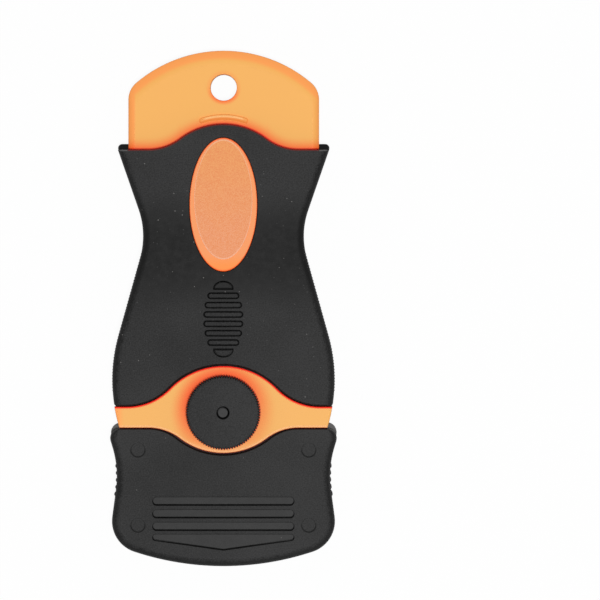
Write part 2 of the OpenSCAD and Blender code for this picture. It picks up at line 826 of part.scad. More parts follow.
core_frame();
grip_sleeve();
badge_insert();
badge_label();
clamp_nut();
blade();
blade_back();
clamp_plate();
thrust_washer();
knob();
knob_stud();
retaining_ring();
cover_front();
cover_back();
cover_pins();
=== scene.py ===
"""Razor blade scraper: rubber grip on an orange core, knob clamp, slip-on blade cover."""
import json
from functools import partialmethod
from math import acos, asin, atan, atan2, cos, hypot, pi, radians, sin, sqrt, tan

import bmesh
import bpy
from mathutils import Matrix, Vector


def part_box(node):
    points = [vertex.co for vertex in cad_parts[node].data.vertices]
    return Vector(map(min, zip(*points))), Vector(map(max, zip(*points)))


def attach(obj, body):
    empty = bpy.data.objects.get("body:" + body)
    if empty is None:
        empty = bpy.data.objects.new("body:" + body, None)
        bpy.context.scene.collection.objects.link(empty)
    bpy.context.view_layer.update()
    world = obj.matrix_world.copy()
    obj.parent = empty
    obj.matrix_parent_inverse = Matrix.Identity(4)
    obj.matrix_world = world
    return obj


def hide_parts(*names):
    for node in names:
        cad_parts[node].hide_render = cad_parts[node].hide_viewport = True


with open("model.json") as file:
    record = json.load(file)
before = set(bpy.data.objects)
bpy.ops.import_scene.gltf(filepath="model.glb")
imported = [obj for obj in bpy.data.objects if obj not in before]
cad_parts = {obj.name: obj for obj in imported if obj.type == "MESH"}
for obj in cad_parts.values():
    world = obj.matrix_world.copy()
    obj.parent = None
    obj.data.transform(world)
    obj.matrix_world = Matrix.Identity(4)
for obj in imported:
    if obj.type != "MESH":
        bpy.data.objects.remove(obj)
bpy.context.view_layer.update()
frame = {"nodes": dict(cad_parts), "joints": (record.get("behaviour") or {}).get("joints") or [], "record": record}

# One millimetre, and how near counts as touching, in metres
MM = 0.001
WELD = 1e-7
# How near counts as the same place, in millimetres
NEAR = 1e-3


def box_mm(node):
    """Lowest and highest corner of a CAD node, in millimetres."""
    lowest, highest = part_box(node)
    return lowest / MM, highest / MM


# Places taken from the frame, in millimetres
core_hi = box_mm("core_frame")[1]
grip_lo, grip_hi = box_mm("grip_sleeve")
front_lo, front_hi = box_mm("cover_front")
pins_lo, pins_hi = box_mm("cover_pins")
knob_lo, knob_hi = box_mm("knob")
stud_hi = box_mm("knob_stud")[1]
nut_hi = box_mm("clamp_nut")[1]
washer_lo, washer_hi = box_mm("thrust_washer")
plate_lo, plate_hi = box_mm("clamp_plate")
blade_lo, blade_hi = box_mm("blade")
strip_lo, strip_hi = box_mm("blade_back")
badge_lo, badge_hi = box_mm("badge_insert")
label_lo, label_hi = box_mm("badge_label")
JOINTS = {joint["name"]: joint for joint in frame["joints"]}
MOUNTS = {mount["name"]: mount for mount in frame["record"]["mounts"]}

TAB_TOP = core_hi.y
COVER_END = front_lo.y
DIP_FLAT = front_hi.y
LOW_FLAT = grip_lo.y
BELLY_X = grip_hi.x
COVER_X = front_hi.x
MID_Z = front_lo.z
FACE_Z = pins_hi.z
SEAT_Z = blade_lo.z
PLATE_Z = blade_hi.z
KNOB_Y = JOINTS["knob_turn"]["pos_m"][1] / MM
KNOB_R = knob_hi.x
HANG_Y = MOUNTS["hang_hole"]["pos_m"][1] / MM
HANG_R = MOUNTS["hang_hole"]["dims"]["r_mm"]

# Grip outline
TAB_L = 26.96
MOUTH_RISE = 6.85
MOUTH_R = 19.2
MOUTH_FLAT_L = 8.2
MOUTH_IN = 1.5
MOUTH_LIP = 1.7
WAIST_DROP = 23.3
WAIST_IN = 8.3
WAIST_R = 22
BELLY_RISE = 7.1
BELLY_R = 44.3
LOW_R = 20.25
LOW_FLAT_L = 3.9
LOW_CORNER_R = 0.9
KNOB_OVER = 2.74
KNOB_UNDER = 1.38
LEAST_R = 0.1
EDGE_R = 2.2
EDGE_STEPS = 6
SIDE_WALL = 1.6
FACE_WALL = 2.4
COLLAR_W = 64
SPINE_DROP = 2.1

MOUTH_FLAT = TAB_TOP - TAB_L
MOUTH_TOP = MOUTH_FLAT + MOUTH_RISE
MOUTH_X = BELLY_X - MOUTH_IN
LOW_TOP = KNOB_Y + KNOB_R + KNOB_OVER
WAIST_C = (BELLY_X - WAIST_IN + WAIST_R, MOUTH_FLAT - WAIST_DROP)
BELLY_C = (BELLY_X - BELLY_R, LOW_FLAT + BELLY_RISE)
SPINE_TOP = MOUTH_FLAT - SPINE_DROP

# Cover outline
COVER_FLARE = 1.8
COVER_BELLY_OUT = 1.3
COVER_WAIST_DROP = 13.1
COVER_WAIST_R = 27
COVER_BELLY_R = 8.7
COVER_CORNER_R = 2.6
COVER_END_R = 76.5
COVER_WALL = 2
COVER_LIP = 1.2
DIP_R = 19.85
DIP_FLAT_L = 10.4
DIP_TOP = KNOB_Y - KNOB_R - KNOB_UNDER
COVER_WAIST_X = COVER_X - COVER_FLARE
COVER_WAIST_C = (COVER_WAIST_X + COVER_WAIST_R, DIP_FLAT - COVER_WAIST_DROP)
COVER_END_C = (0, COVER_END + COVER_END_R)
COVER_BELLY_X = COVER_WAIST_X + COVER_BELLY_OUT - COVER_BELLY_R
COVER_BELLY_C = (COVER_BELLY_X, COVER_END_C[1]
                 - sqrt((COVER_END_R - COVER_BELLY_R) ** 2 - COVER_BELLY_X ** 2))

# Fits: free, along the band, sliding and pressed. Then overrun of cutters and roots of welds
GAP = 0.35
BAND_GAP = 0.1
SLIP = 0.08
HAIR = 0.02
OVER = 1
ROOT = 0.2

# Band, core and clamp
CLAMP_SAG = 0.23
CLAMP_ROUND = 0.3
COVER_DROP = 0.2
BAND_IN = 0.02
BAND_ROUND = 0.4
ROUND_MID = 0.3
BED_IN = 0.6
BED_GAP = 0.01
TAB_IN = 2.68
TAB_T = 4
TAB_TOP_R = 36.7
TAB_CORNER_R = 6
TAB_BEVEL = 3.8
TAB_SIDE_BEVEL = 1.8
TAB_BEVEL_T = 0.8
TAB_RIM = 0.15
TAB_BACK_IN = 0.5
TAB_BACK_T = 0.4
TAB_CORNER_IN = 1.5
TAB_ROOT = 2
TAB_X = MOUTH_X - TAB_IN
TAB_Z0 = MID_Z - TAB_T / 2
TAB_Z1 = MID_Z + TAB_T / 2
BLADE_SIDE = 0.1
BLADE_OUT = 5
JAW_SLOPE = 7
JAW_ROOT = 2
JAW_STEP = 0.6
JAW_TIP_BACK = 1.2
JAW_TIP_FRONT = 0.9
JAW_ROOM_BACK = 1.2
JAW_ROOM_FRONT = 1.6
JAW_X = blade_hi.x + BLADE_SIDE
JAW_END = blade_lo.y + BLADE_OUT
JAW_TOP = DIP_FLAT + JAW_ROOT
JAW_BACK = COVER_WALL + JAW_ROOM_BACK
JAW_FRONT = FACE_Z - COVER_WALL - JAW_ROOM_FRONT - 2 * GAP


# Modelling by hand: one piece at a time, in edit mode

def at(x, y, z):
    """A place or step in metres, from millimetres."""
    return x * MM, y * MM, z * MM


def deselect():
    """Leaves edit mode and deselects everything."""
    if bpy.context.mode != "OBJECT":
        bpy.ops.object.mode_set(mode="OBJECT")
    bpy.ops.object.select_all(action="DESELECT")


def take(piece):
    """Makes a piece the only selected one."""
    deselect()
    piece.select_set(True)
    bpy.context.view_layer.objects.active = piece
    return piece


def edit(piece):
    take(piece)
    bpy.ops.object.mode_set(mode="EDIT")
    return piece


def placed(name):
    """Names the primitive just added and puts its place into its mesh."""
    piece = bpy.context.active_object
    piece.name = name
    piece.data.name = name
    bpy.ops.object.transform_apply(location=True, rotation=True, scale=True)
    return piece


def blank(name):
    """A piece with nothing in it yet, open for drawing."""
    deselect()
    bpy.ops.mesh.primitive_plane_add(size=MM)
    piece = placed(name)
    bpy.ops.object.mode_set(mode="EDIT")
    bpy.ops.mesh.select_mode(type="VERT")
    select_whole()
    bpy.ops.mesh.delete(type="VERT")
    return piece


def select_whole():
    bpy.ops.mesh.select_all(action="SELECT")


def pick(kind, test):
    """Selects the corners, edges or faces of the piece in edit mode that pass a test."""
    bpy.ops.mesh.select_mode(type=kind)
    bpy.ops.mesh.select_all(action="DESELECT")
    data = bpy.context.edit_object.data
    mesh = bmesh.from_edit_mesh(data)
    for part in {"VERT": mesh.verts, "EDGE": mesh.edges, "FACE": mesh.faces}[kind]:
        part.select_set(test(part))
    bmesh.update_edit_mesh(data)


def at_height(*heights):
    """A test for edges that lie flat at one of some heights, in millimetres."""
    def test(edge):
        low, high = (v.co.z / MM for v in edge.verts)
        return abs(low - high) < NEAR / 10 and any(abs(low - z) < NEAR for z in heights)
    return test


def on_circle(x, y, r):
    """A test for edges that lie flat on a circle, in millimetres."""
    def test(edge):
        ends = [v.co / MM for v in edge.verts]
        level = abs(ends[0].z - ends[1].z) < NEAR
        return level and all(abs(hypot(end.x - x, end.y - y) - r) < 10 * NEAR for end in ends)
    return test


class Pen:
    """Draws the right half of an outline, in lines and arcs, as one chain of edges."""

    def __init__(self, x, y, z):
        self.x, self.y, self.z = x, y, z
        bpy.ops.mesh.select_all(action="DESELECT")
        bpy.ops.mesh.primitive_plane_add(size=MM, location=at(x, y, z))
        bpy.ops.mesh.merge(type="CENTER")

    def line_to(self, x, y):
        step = Vector(at(x - self.x, y - self.y, 0))
        if step.length > WELD:
            bpy.ops.mesh.extrude_region_move(TRANSFORM_OT_translate={"value": step})
        self.x, self.y = x, y

    def arc(self, cx, cy, turn, steps):
        """Turns clockwise about a centre, by an angle in radians."""
        bpy.ops.mesh.spin(steps=steps, angle=turn, center=at(cx, cy, self.z), axis=(0, 0, 1))
        dx, dy = self.x - cx, self.y - cy
        self.x = cx + dx * cos(turn) + dy * sin(turn)
        self.y = cy + dy * cos(turn) - dx * sin(turn)


def skin(name, draw, levels, hold=0.0):
    """A closed piece from outlines drawn at rising heights, bridged one to the next."""
    piece = blank(name)
    for level in levels:
        draw(*level)
    select_whole()
    bpy.ops.mesh.symmetrize(direction="POSITIVE_X", threshold=WELD)
    for low, high in zip(levels, levels[1:]):
        pick("EDGE", at_height(low[0], high[0]))
        bpy.ops.mesh.bridge_edge_loops()
    for z in (levels[0][0], levels[-1][0]):
        pick("EDGE", at_height(z))
        bpy.ops.mesh.edge_face_add()
        if hold:
            bpy.ops.mesh.inset(thickness=hold * MM)
    outward()
    return piece


def rod(name, x, y, r, z0, z1, sides=64):
    deselect()
    bpy.ops.mesh.primitive_cylinder_add(
        vertices=sides, radius=r * MM, depth=(z1 - z0) * MM, location=at(x, y, (z0 + z1) / 2))
    return placed(name)


def block(name, x0, x1, y0, y1, z0, z1):
    deselect()
    bpy.ops.mesh.primitive_cube_add(
        size=1, location=at((x0 + x1) / 2, (y0 + y1) / 2, (z0 + z1) / 2),
        scale=at(x1 - x0, y1 - y0, z1 - z0))
    return placed(name)


def oval(lo, hi):
    """Middle along the scraper and half axes of an oval piece."""
    return (lo.y + hi.y) / 2, hi.x, (hi.y - lo.y) / 2


def ellipse(name, y, a, b, z, sides=96):
    """A flat oval disc about x = 0, left in edit mode with its face selected."""
    deselect()
    bpy.ops.mesh.primitive_circle_add(
        vertices=sides, radius=a * MM, fill_type="NGON", location=at(0, y, z))
    piece = placed(name)
    edit(piece)
    pick("FACE", lambda face: True)
    bpy.ops.transform.resize(value=(1, b / a, 1), center_override=at(0, y, z))
    return piece


def raise_face(height, shrink=(1, 1), middle=(0, 0)):
    """Extrudes the selected face upward and narrows its end about a middle."""
    bpy.ops.mesh.extrude_region_move(TRANSFORM_OT_translate={"value": at(0, 0, height)})
    if shrink != (1, 1):
        bpy.ops.transform.resize(
            value=(*shrink, 1), center_override=at(*middle, 0))


def outward():
    """Turns all the faces of the piece in edit mode outward and leaves edit mode."""
    select_whole()
    bpy.ops.mesh.normals_make_consistent(inside=False)
    deselect()


def soften(piece, test, width):
    """Rounds the edges that pass a test."""
    edit(piece)
    pick("EDGE", test)
    bpy.ops.mesh.bevel(offset=width * MM, segments=3, profile=0.5, affect="EDGES")
    deselect()


def soften_rim(piece, z, width):
    """Rounds the edges that lie flat at a height."""
    soften(piece, at_height(z), width)


def raised(piece, z0, z1, rim):
    """Raises the flat piece in edit mode to a height and rounds its rim."""
    pick("FACE", lambda face: True)
    raise_face(z1 - z0)
    outward()
    if rim:
        soften_rim(piece, z1, rim)
    return piece


def combine(piece, tools, how):
    """Cuts tools from a piece, or welds them to it, and removes them."""
    for tool in tools:
        take(piece)
        cut = piece.modifiers.new("cut", "BOOLEAN")
        cut.operation = how
        cut.solver = "EXACT"
        cut.object = tool
        bpy.ops.object.modifier_apply(modifier=cut.name)
        bpy.data.objects.remove(tool)
    return piece


def cut(piece, *tools):
    return combine(piece, tools, "DIFFERENCE")


def weld(piece, *tools):
    return combine(piece, tools, "UNION")


def joined(name, pieces):
    """Joins pieces that don't touch into one."""
    take(pieces[0])
    for piece in pieces[1:]:
        piece.select_set(True)
    bpy.ops.object.join()
    pieces[0].name = name
    pieces[0].data.name = name
    return pieces[0]


def smooth(piece, angle=32):
    """Smooth shading that keeps flat faces flat."""
    take(piece)
    bpy.ops.object.shade_smooth_by_angle(angle=radians(angle))
    even = piece.modifiers.new("even", "WEIGHTED_NORMAL")
    even.keep_sharp = True
    bpy.ops.object.modifier_apply(modifier=even.name)


def dress(piece, material, body, slot, *nodes):
    """Smooths a piece, gives it its material and ties it to the frame."""
    smooth(piece)
    piece.data.materials.clear()
    piece.data.materials.append(material)
    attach(piece, body)
    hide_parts(*nodes)


# Outlines

def shares():
    """Share of an edge at each of its steps, from 0 to 1."""
    return [step / EDGE_STEPS for step in range(EDGE_STEPS + 1)]


def rounding():
    """Inset and rise of each step of a rounded edge, from the side to the face."""
    angles = [pi / 2 * t for t in shares()]
    return [(EDGE_R * (1 - cos(a)), EDGE_R * sin(a)) for a in angles]


def polar(centre, r, angle):
    return centre[0] + r * cos(angle), centre[1] + r * sin(angle)


def tangent(c1, r1, c2, r2, side):
    """Angle on the first circle of the line that touches both and crosses between them."""
    dx, dy = c2[0] - c1[0], c2[1] - c1[1]
    return atan2(dy, dx) + side * acos(min(1, (r1 + r2) / hypot(dx, dy)))


class Wave:
    """An S-shaped edge, from its crest or dip at x = 0 to a flat at x = run."""

    def __init__(self, top, flat, r, run):
        self.side = 1 if top > flat else -1
        self.lean = 2 * atan(abs(top - flat) / run)
        self.top, self.flat, self.r, self.run = top, flat, r, run
        self.r2 = run / sin(self.lean) - r

    def out(self, pen):
        pen.arc(0, self.top - self.side * self.r, self.side * self.lean, 12)
        pen.arc(self.run, self.flat + self.side * self.r2, -self.side * self.lean, 10)

    def back(self, pen):
        pen.arc(self.run, self.flat + self.side * self.r2, self.side * self.lean, 10)
        pen.arc(0, self.top - self.side * self.r, -self.side * self.lean, 12)


MOUTH_WAVE = Wave(MOUTH_TOP, MOUTH_FLAT, MOUTH_R, MOUTH_X - MOUTH_FLAT_L)
LOW_WAVE = Wave(LOW_TOP, LOW_FLAT, LOW_R, BELLY_X - LOW_FLAT_L)
DIP_WAVE = Wave(DIP_TOP, DIP_FLAT, DIP_R, COVER_X - DIP_FLAT_L)
CLAMP_WAVE = Wave(DIP_TOP - COVER_DROP, DIP_FLAT - COVER_DROP - CLAMP_SAG, DIP_R, DIP_WAVE.run)
BELLY_A = tangent(BELLY_C, BELLY_R, WAIST_C, WAIST_R, -1)
FLARE_DX, FLARE_DY = MOUTH_X - WAIST_C[0], MOUTH_FLAT - WAIST_C[1]
FLARE_A = acos(-WAIST_R / hypot(FLARE_DX, FLARE_DY)) - atan2(FLARE_DY, FLARE_DX)


def flare_x(inset, y):
    x0, y0 = polar(WAIST_C, WAIST_R + inset, pi - FLARE_A)
    return x0 + (y - y0) * tan(FLARE_A)


def belly_at(inset, y):
    return asin((y - BELLY_C[1]) / (BELLY_R - inset))


def draw_side(pen, inset, y_end):
    """Side of the grip, from the flare down the waist to the belly."""
    pen.line_to(*polar(WAIST_C, WAIST_R + inset, pi - FLARE_A))
    pen.arc(*WAIST_C, -(FLARE_A + BELLY_A), 16)
    pen.line_to(*polar(BELLY_C, BELLY_R - inset, BELLY_A))
    pen.arc(*BELLY_C, BELLY_A - belly_at(inset, y_end), 16)


def draw_grip(z, inset, end_inset, lip):
    mouth_inset = end_inset * MOUTH_ROUND
    mouth_y = MOUTH_FLAT + lip - mouth_inset
    low_y = LOW_FLAT + end_inset
    corner = max(LOW_CORNER_R - inset, LEAST_R)
    lip_r = LEAST_R + LIP_ROUND * lip
    lip_x = flare_x(inset + lip_r, mouth_y - lip_r)
    pen = Pen(0, MOUTH_TOP + lip - mouth_inset, z)
    MOUTH_WAVE.out(pen)
    pen.line_to(lip_x, mouth_y)
    pen.arc(lip_x, mouth_y - lip_r, pi / 2 + FLARE_A, 5)
    draw_side(pen, inset, low_y + corner)
    pen.arc(pen.x - corner, low_y + corner, pi / 2, 6)
    pen.line_to(LOW_WAVE.run, low_y)
    LOW_WAVE.back(pen)


def draw_inside(z, inset, top, bottom):
    """Outline inside the grip, between two heights along it."""
    pen = Pen(0, top, z)
    pen.line_to(flare_x(inset, top), top)
    draw_side(pen, inset, bottom)
    pen.line_to(0, bottom)


def draw_band(z, lip, inset, wave):
    pen = Pen(0, LOW_TOP - BAND_GAP - inset, z)
    LOW_WAVE.out(pen)
    top, bottom = LOW_FLAT - BAND_GAP - inset, wave.flat + lip + GAP + inset
    side = BAND_IN + inset
    pen.line_to(*polar(BELLY_C, BELLY_R - side, belly_at(side, top)))
    pen.arc(*BELLY_C, belly_at(side, top) - belly_at(side, bottom), 6)
    pen.line_to(wave.run, bottom)
    wave.back(pen)


def cover_angles(lip):
    """Centre of the cover's corner, and the angles where its curves meet."""
    corner = (COVER_X - COVER_CORNER_R, DIP_FLAT + lip - COVER_CORNER_R)
    return (corner, tangent(corner, COVER_CORNER_R, COVER_WAIST_C, COVER_WAIST_R, 1),
            tangent(COVER_BELLY_C, COVER_BELLY_R, COVER_WAIST_C, COVER_WAIST_R, -1),
            atan2(COVER_BELLY_C[1] - COVER_END_C[1], COVER_BELLY_C[0]))


def draw_cover_low(pen, inset, lip):
    """Side and end of the cover below its corner."""
    corner_a, belly_a, end_a = cover_angles(lip)[1:]
    pen.line_to(*polar(COVER_WAIST_C, COVER_WAIST_R + inset, pi + corner_a))
    pen.arc(*COVER_WAIST_C, corner_a - belly_a, 12)
    pen.line_to(*polar(COVER_BELLY_C, COVER_BELLY_R - inset, belly_a))
    pen.arc(*COVER_BELLY_C, belly_a - end_a, 14)
    pen.arc(*COVER_END_C, end_a + pi / 2, 14)


def draw_cover(z, inset, end_inset, lip):
    corner, corner_a = cover_angles(lip)[:2]
    pen = Pen(0, DIP_TOP + lip - end_inset, z)
    DIP_WAVE.out(pen)
    for t in shares():
        a = pi / 2 + (corner_a - pi / 2) * t
        pen.line_to(corner[0] + (COVER_CORNER_R - inset) * cos(a),
                    corner[1] + (COVER_CORNER_R - end_inset) * sin(a))
    draw_cover_low(pen, inset, lip)


def draw_hollow(z, inset):
    top = DIP_FLAT + 8 * OVER
    pen = Pen(0, top, z)
    pen.line_to(COVER_WAIST_X - inset, top)
    draw_cover_low(pen, inset, 0)


def draw_tab(z, r, x, corner):
    """Tab with a top radius r and a half width x."""
    cy = TAB_TOP - TAB_TOP_R
    ky = sqrt((r - corner) ** 2 - (x - corner) ** 2)
    lean = atan2(ky, x - corner)
    bottom = SPINE_TOP - TAB_ROOT
    pen = Pen(0, cy + r, z)
    pen.arc(0, cy, pi / 2 - lean, 16)
    pen.arc(x - corner, cy + ky, lean, 10)
    for y in (MOUTH_FLAT, bottom):
        pen.line_to(min(x, flare_x(SIDE_WALL + SLIP, y) - (TAB_X - x)), y)
    pen.line_to(0, bottom)


def band_edge(z, r, way):
    """Heights and insets of the band's rounded rim, from its face at z inward."""
    return [(z, r), (z + way * ROUND_MID * r, ROUND_MID * r), (z + way * r, 0)]


# Rubber grip

RIB_N = 6
RIB_OVAL = (5.1, 10.1)
RIB_PITCH = 2.52
RIB_W = 1.15
RIB_H = 0.25
RIB_ROUND = 0.2
RIB_Y = LOW_TOP + 12.5
MOAT_W = 0.36
MOAT_D = 0.8
MOAT_FLOOR = 0.04
MOAT_SIDES = 28
MOON = (2.4, 1.75)
END_ROUND = 0.25
MOUTH_ROUND = 0.4
LIP_ROUND = 0.6
LIP_STEP = 1.2
# Middle of the band of painted shade across the waist
WAIST_SHADE_Y = 15.5
RIDGE_TOP = 15
RIDGE_END = -23
RIDGE_PITCH = 0.8
RIDGE_H = 0.12
RIDGE_OVER = 0.3
RIDGE_SINK = 0.4
RIDGE_TAPER = 0.6
CHEEK_L = 2
# Rolled rim of the oval recess: its depth, then the rise and widening of each step
ROLL_D = 0.3
ROLL_STEPS = ((0.15, 0.05), (0.1, 0.1), (0.1, 0.2))


def bar(name, half, y, height, z0, z1, rim=0.0, sides=32):
    """A bar with round ends across the scraper: a disc pulled apart and raised."""
    r = height / 2
    piece = ellipse(name, y, r, r, z0, sides)
    for side in (-1, 1):
        pick("VERT", lambda v: v.co.x * side > WELD)
        bpy.ops.transform.translate(value=at(side * (half - r), 0, 0))
    return raised(piece, z0, z1, rim)


def taper(piece, width, depth, shift=0.0):
    """Draws the bottom of a cutter in and down, so that it cuts a groove with a sloped wall."""
    edit(piece)
    pick("FACE", lambda face: face.normal.z < -0.5)
    corners = [v.co / MM for v in bmesh.from_edit_mesh(piece.data).verts if v.select]
    spans = [(min(c[axis] for c in corners), max(c[axis] for c in corners)) for axis in (0, 1)]
    shrink = tuple(1 - 2 * width / (high - low) for low, high in spans)
    raise_face(-depth, shrink, tuple((low + high) / 2 for low, high in spans))
    bpy.ops.transform.translate(value=at(0, shift, 0))
    deselect()
    return piece


def half_moon(name, side, grow, z0, z1, rim, sides):
    """End of the rib oval, past its last rib: half an oval, raised."""
    flat = RIB_Y + side * ((RIB_N + 1) / 2 * RIB_PITCH - RIB_W / 2)
    piece = ellipse(name, flat, MOON[0] + grow, MOON[1] + grow, z0, 2 * sides)
    bpy.ops.mesh.bisect(
        plane_co=at(0, flat - side * grow, 0), plane_no=(0, -side, 0), clear_outer=True)
    return raised(piece, z0, z1, rim)


def thumb_ribs(name, grow, z0, z1, rim=0.0, sides=32):
    ribs = []
    for i in range(RIB_N):
        off = (i - (RIB_N - 1) / 2) * RIB_PITCH
        half = RIB_OVAL[0] * sqrt(1 - (off / RIB_OVAL[1]) ** 2)
        ribs.append(bar(name, half + grow, RIB_Y + off, RIB_W + 2 * grow, z0, z1, rim, sides))
    return ribs + [half_moon(name, side, grow, z0, z1, rim, sides) for side in (-1, 1)]


def grip_levels():
    """Heights of the grip's outlines, with their insets and the lean of the mouth."""
    edge = rounding()
    heights = [(EDGE_R - rise, inset) for inset, rise in reversed(edge)]
    heights += [(TAB_Z1 - LIP_STEP, 0), (TAB_Z1, 0)]
    heights += [(FACE_Z - EDGE_R + rise, inset) for inset, rise in edge]
    behind = TAB_Z1 - LIP_STEP / 2
    return [(z, inset, inset * END_ROUND, MOUTH_LIP if z < behind else 0) for z, inset in heights]


def side_x(y):
    """Half width of the grip at its side."""
    high = polar(WAIST_C, WAIST_R, pi + BELLY_A)
    low = polar(BELLY_C, BELLY_R, BELLY_A)
    if y > high[1]:
        return WAIST_C[0] - sqrt(WAIST_R ** 2 - (y - WAIST_C[1]) ** 2)
    if y > low[1]:
        return low[0] + (y - low[1]) * (high[0] - low[0]) / (high[1] - low[1])
    return BELLY_C[0] + sqrt(BELLY_R ** 2 - (y - BELLY_C[1]) ** 2)


def draw_ridges(z, inset):
    pen = Pen(0, RIDGE_TOP, z)
    for i in range(2 * int((RIDGE_TOP - RIDGE_END) / RIDGE_PITCH) + 1):
        y = RIDGE_TOP - i * RIDGE_PITCH / 2
        pen.line_to(side_x(y) - inset + (RIDGE_H if i % 2 else -RIDGE_H), y)
    pen.line_to(0, pen.y)


def make_grip(rubber):
    grip = skin("rubber_grip", draw_grip, grip_levels())
    z0, z1 = EDGE_R - RIDGE_OVER, FACE_Z - EDGE_R + RIDGE_OVER
    weld(grip, skin("side_ridges", draw_ridges, [
        (z0, RIDGE_SINK), (z0 + RIDGE_TAPER, 0), (z1 - RIDGE_TAPER, 0), (z1, RIDGE_SINK)]))
    # Room for the core and the tab, closed on the tab by two collars
    room = skin("room", draw_inside, [
        (z, SIDE_WALL, TAB_TOP, LOW_FLAT - 8 * OVER) for z in (FACE_WALL, FACE_Z - FACE_WALL)])
    for z0, z1 in ((TAB_Z1 + SLIP, FACE_Z), (0, TAB_Z0 - SLIP)):
        cut(room, block("collar", -COLLAR_W / 2, COLLAR_W / 2, SPINE_TOP + GAP, TAB_TOP + OVER, z0, z1))
    for side in (-1, 1):
        inner, outer = sorted((side * (TAB_X + SLIP), side * (BELLY_X + 5 * OVER)))
        cut(room, block("cheek", inner, outer, MOUTH_FLAT - CHEEK_L, TAB_TOP + OVER, 0, FACE_Z))
    # Oval recess with a rolled rim
    y, a, b = oval(badge_lo, badge_hi)
    a, b = a + HAIR, b + HAIR
    recess = ellipse("recess", y, a, b, badge_lo.z)
    raise_face(FACE_Z - ROLL_D - badge_lo.z)
    for rise, grow in ROLL_STEPS:
        raise_face(rise, (1 + grow / a, 1 + grow / b), (0, y))
        a, b = a + grow, b + grow
    raise_face(OVER)
    outward()
    cut(grip, room, recess)
    moats = thumb_ribs("moat", MOAT_W, FACE_Z - HAIR, FACE_Z + OVER, sides=MOAT_SIDES)
    cut(grip, *[taper(moat, MOAT_W - MOAT_FLOOR, MOAT_D) for moat in moats])
    weld(grip, *thumb_ribs("rib", 0, FACE_Z - MOAT_D - ROOT, FACE_Z + RIB_H, RIB_ROUND))
    dress(grip, rubber, "handle", "black_rubber", "grip_sleeve")


# Badge

BADGE_RIM = 0.25
FILM_RIM = 0.06


def oval_plate(name, lo, hi, rim):
    return raised(ellipse(name, *oval(lo, hi), lo.z), lo.z, hi.z, rim)


# Blade cover

PIN_HEAD_R = 2
PIN_SHOW_R = 1.85
PIN_R = 1.3
PIN_HEAD_T = 1
PIN_GAP = 0.1
PIN_ROUND = 0.05
PIN_ROOT = 0.6
BOSS_R = 2.8
BOSS_ROOT = 0.5
BOSS_SIDES = 48
PIN_X = pins_hi.x - PIN_HEAD_R
PIN_YS = (pins_lo.y + PIN_HEAD_R, pins_hi.y - PIN_HEAD_R)
PIN_PLACES = [(side * PIN_X, y) for side in (-1, 1) for y in PIN_YS]
COVER_END_ROUND = 0.13
SEAM = 0.05
RAIL_AT = 0.7
RAIL_W = 1.5
BAR_N = 3
BAR_HALF = 19
BAR_W = 2.05
BAR_PITCH = 3.4
BAR_DROP = 19.55
BAR_POINT = 4.1
BAR_POINT_RISE = 1.2
BAR_POINT_TURN = 172
BAR_END_R = 0.75
BAR_H = 0.25
BAR_ROUND = 0.2
BAR_MOAT = 0.16
BAR_SHIFT = 0.26
BAR_MOAT_LEAN = 0.05
NOTCH_PITCH = 1.9
NOTCH_N = 5
NOTCH_H = 0.28
NOTCH_R = 0.7
NOTCH_RISE = 2.8
NOTCH_ROUND = 0.3
NOTCH_SIDES = 24


def draw_point(z, grow, drop):
    y = DIP_FLAT - BAR_DROP - BAR_N * BAR_PITCH + BAR_POINT_RISE + grow - drop
    r = BAR_END_R + grow
    middle = BAR_HALF - BAR_END_R
    pen = Pen(0, y, z)
    pen.line_to(middle, y)
    pen.arc(middle, y - r, radians(BAR_POINT_TURN), 10)
    pen.line_to(0, y - BAR_POINT - 2 * grow)


def finger_bars(name, grow, drop, z0, z1, rim=0.0):
    bars = [bar(name, BAR_HALF + grow, DIP_FLAT - BAR_DROP - i * BAR_PITCH - drop,
                BAR_W + 2 * grow, z0, z1, rim) for i in range(BAR_N)]
    point = skin(name, draw_point, [(z, grow, drop) for z in (z0, z1)])
    if rim:
        soften_rim(point, z1, rim)
    return bars + [point]


def serrations(z0, z1):
    ridges = []
    for side in (-1, 1):
        for i in range(NOTCH_N):
            y = COVER_WAIST_C[1] + NOTCH_RISE - NOTCH_PITCH * i
            x = COVER_WAIST_C[0] - sqrt(COVER_WAIST_R ** 2 - (y - COVER_WAIST_C[1]) ** 2)
            ridge = rod("ridge", side * (x + NOTCH_H - NOTCH_R), y, NOTCH_R, z0, z1, NOTCH_SIDES)
            soften_rim(ridge, z1, NOTCH_ROUND)
            soften_rim(ridge, z0, NOTCH_ROUND)
            ridges.append(ridge)
    return ridges


def bosses(z0, z1):
    return [rod("boss", x, y, BOSS_R, z0, z1, BOSS_SIDES) for x, y in PIN_PLACES]


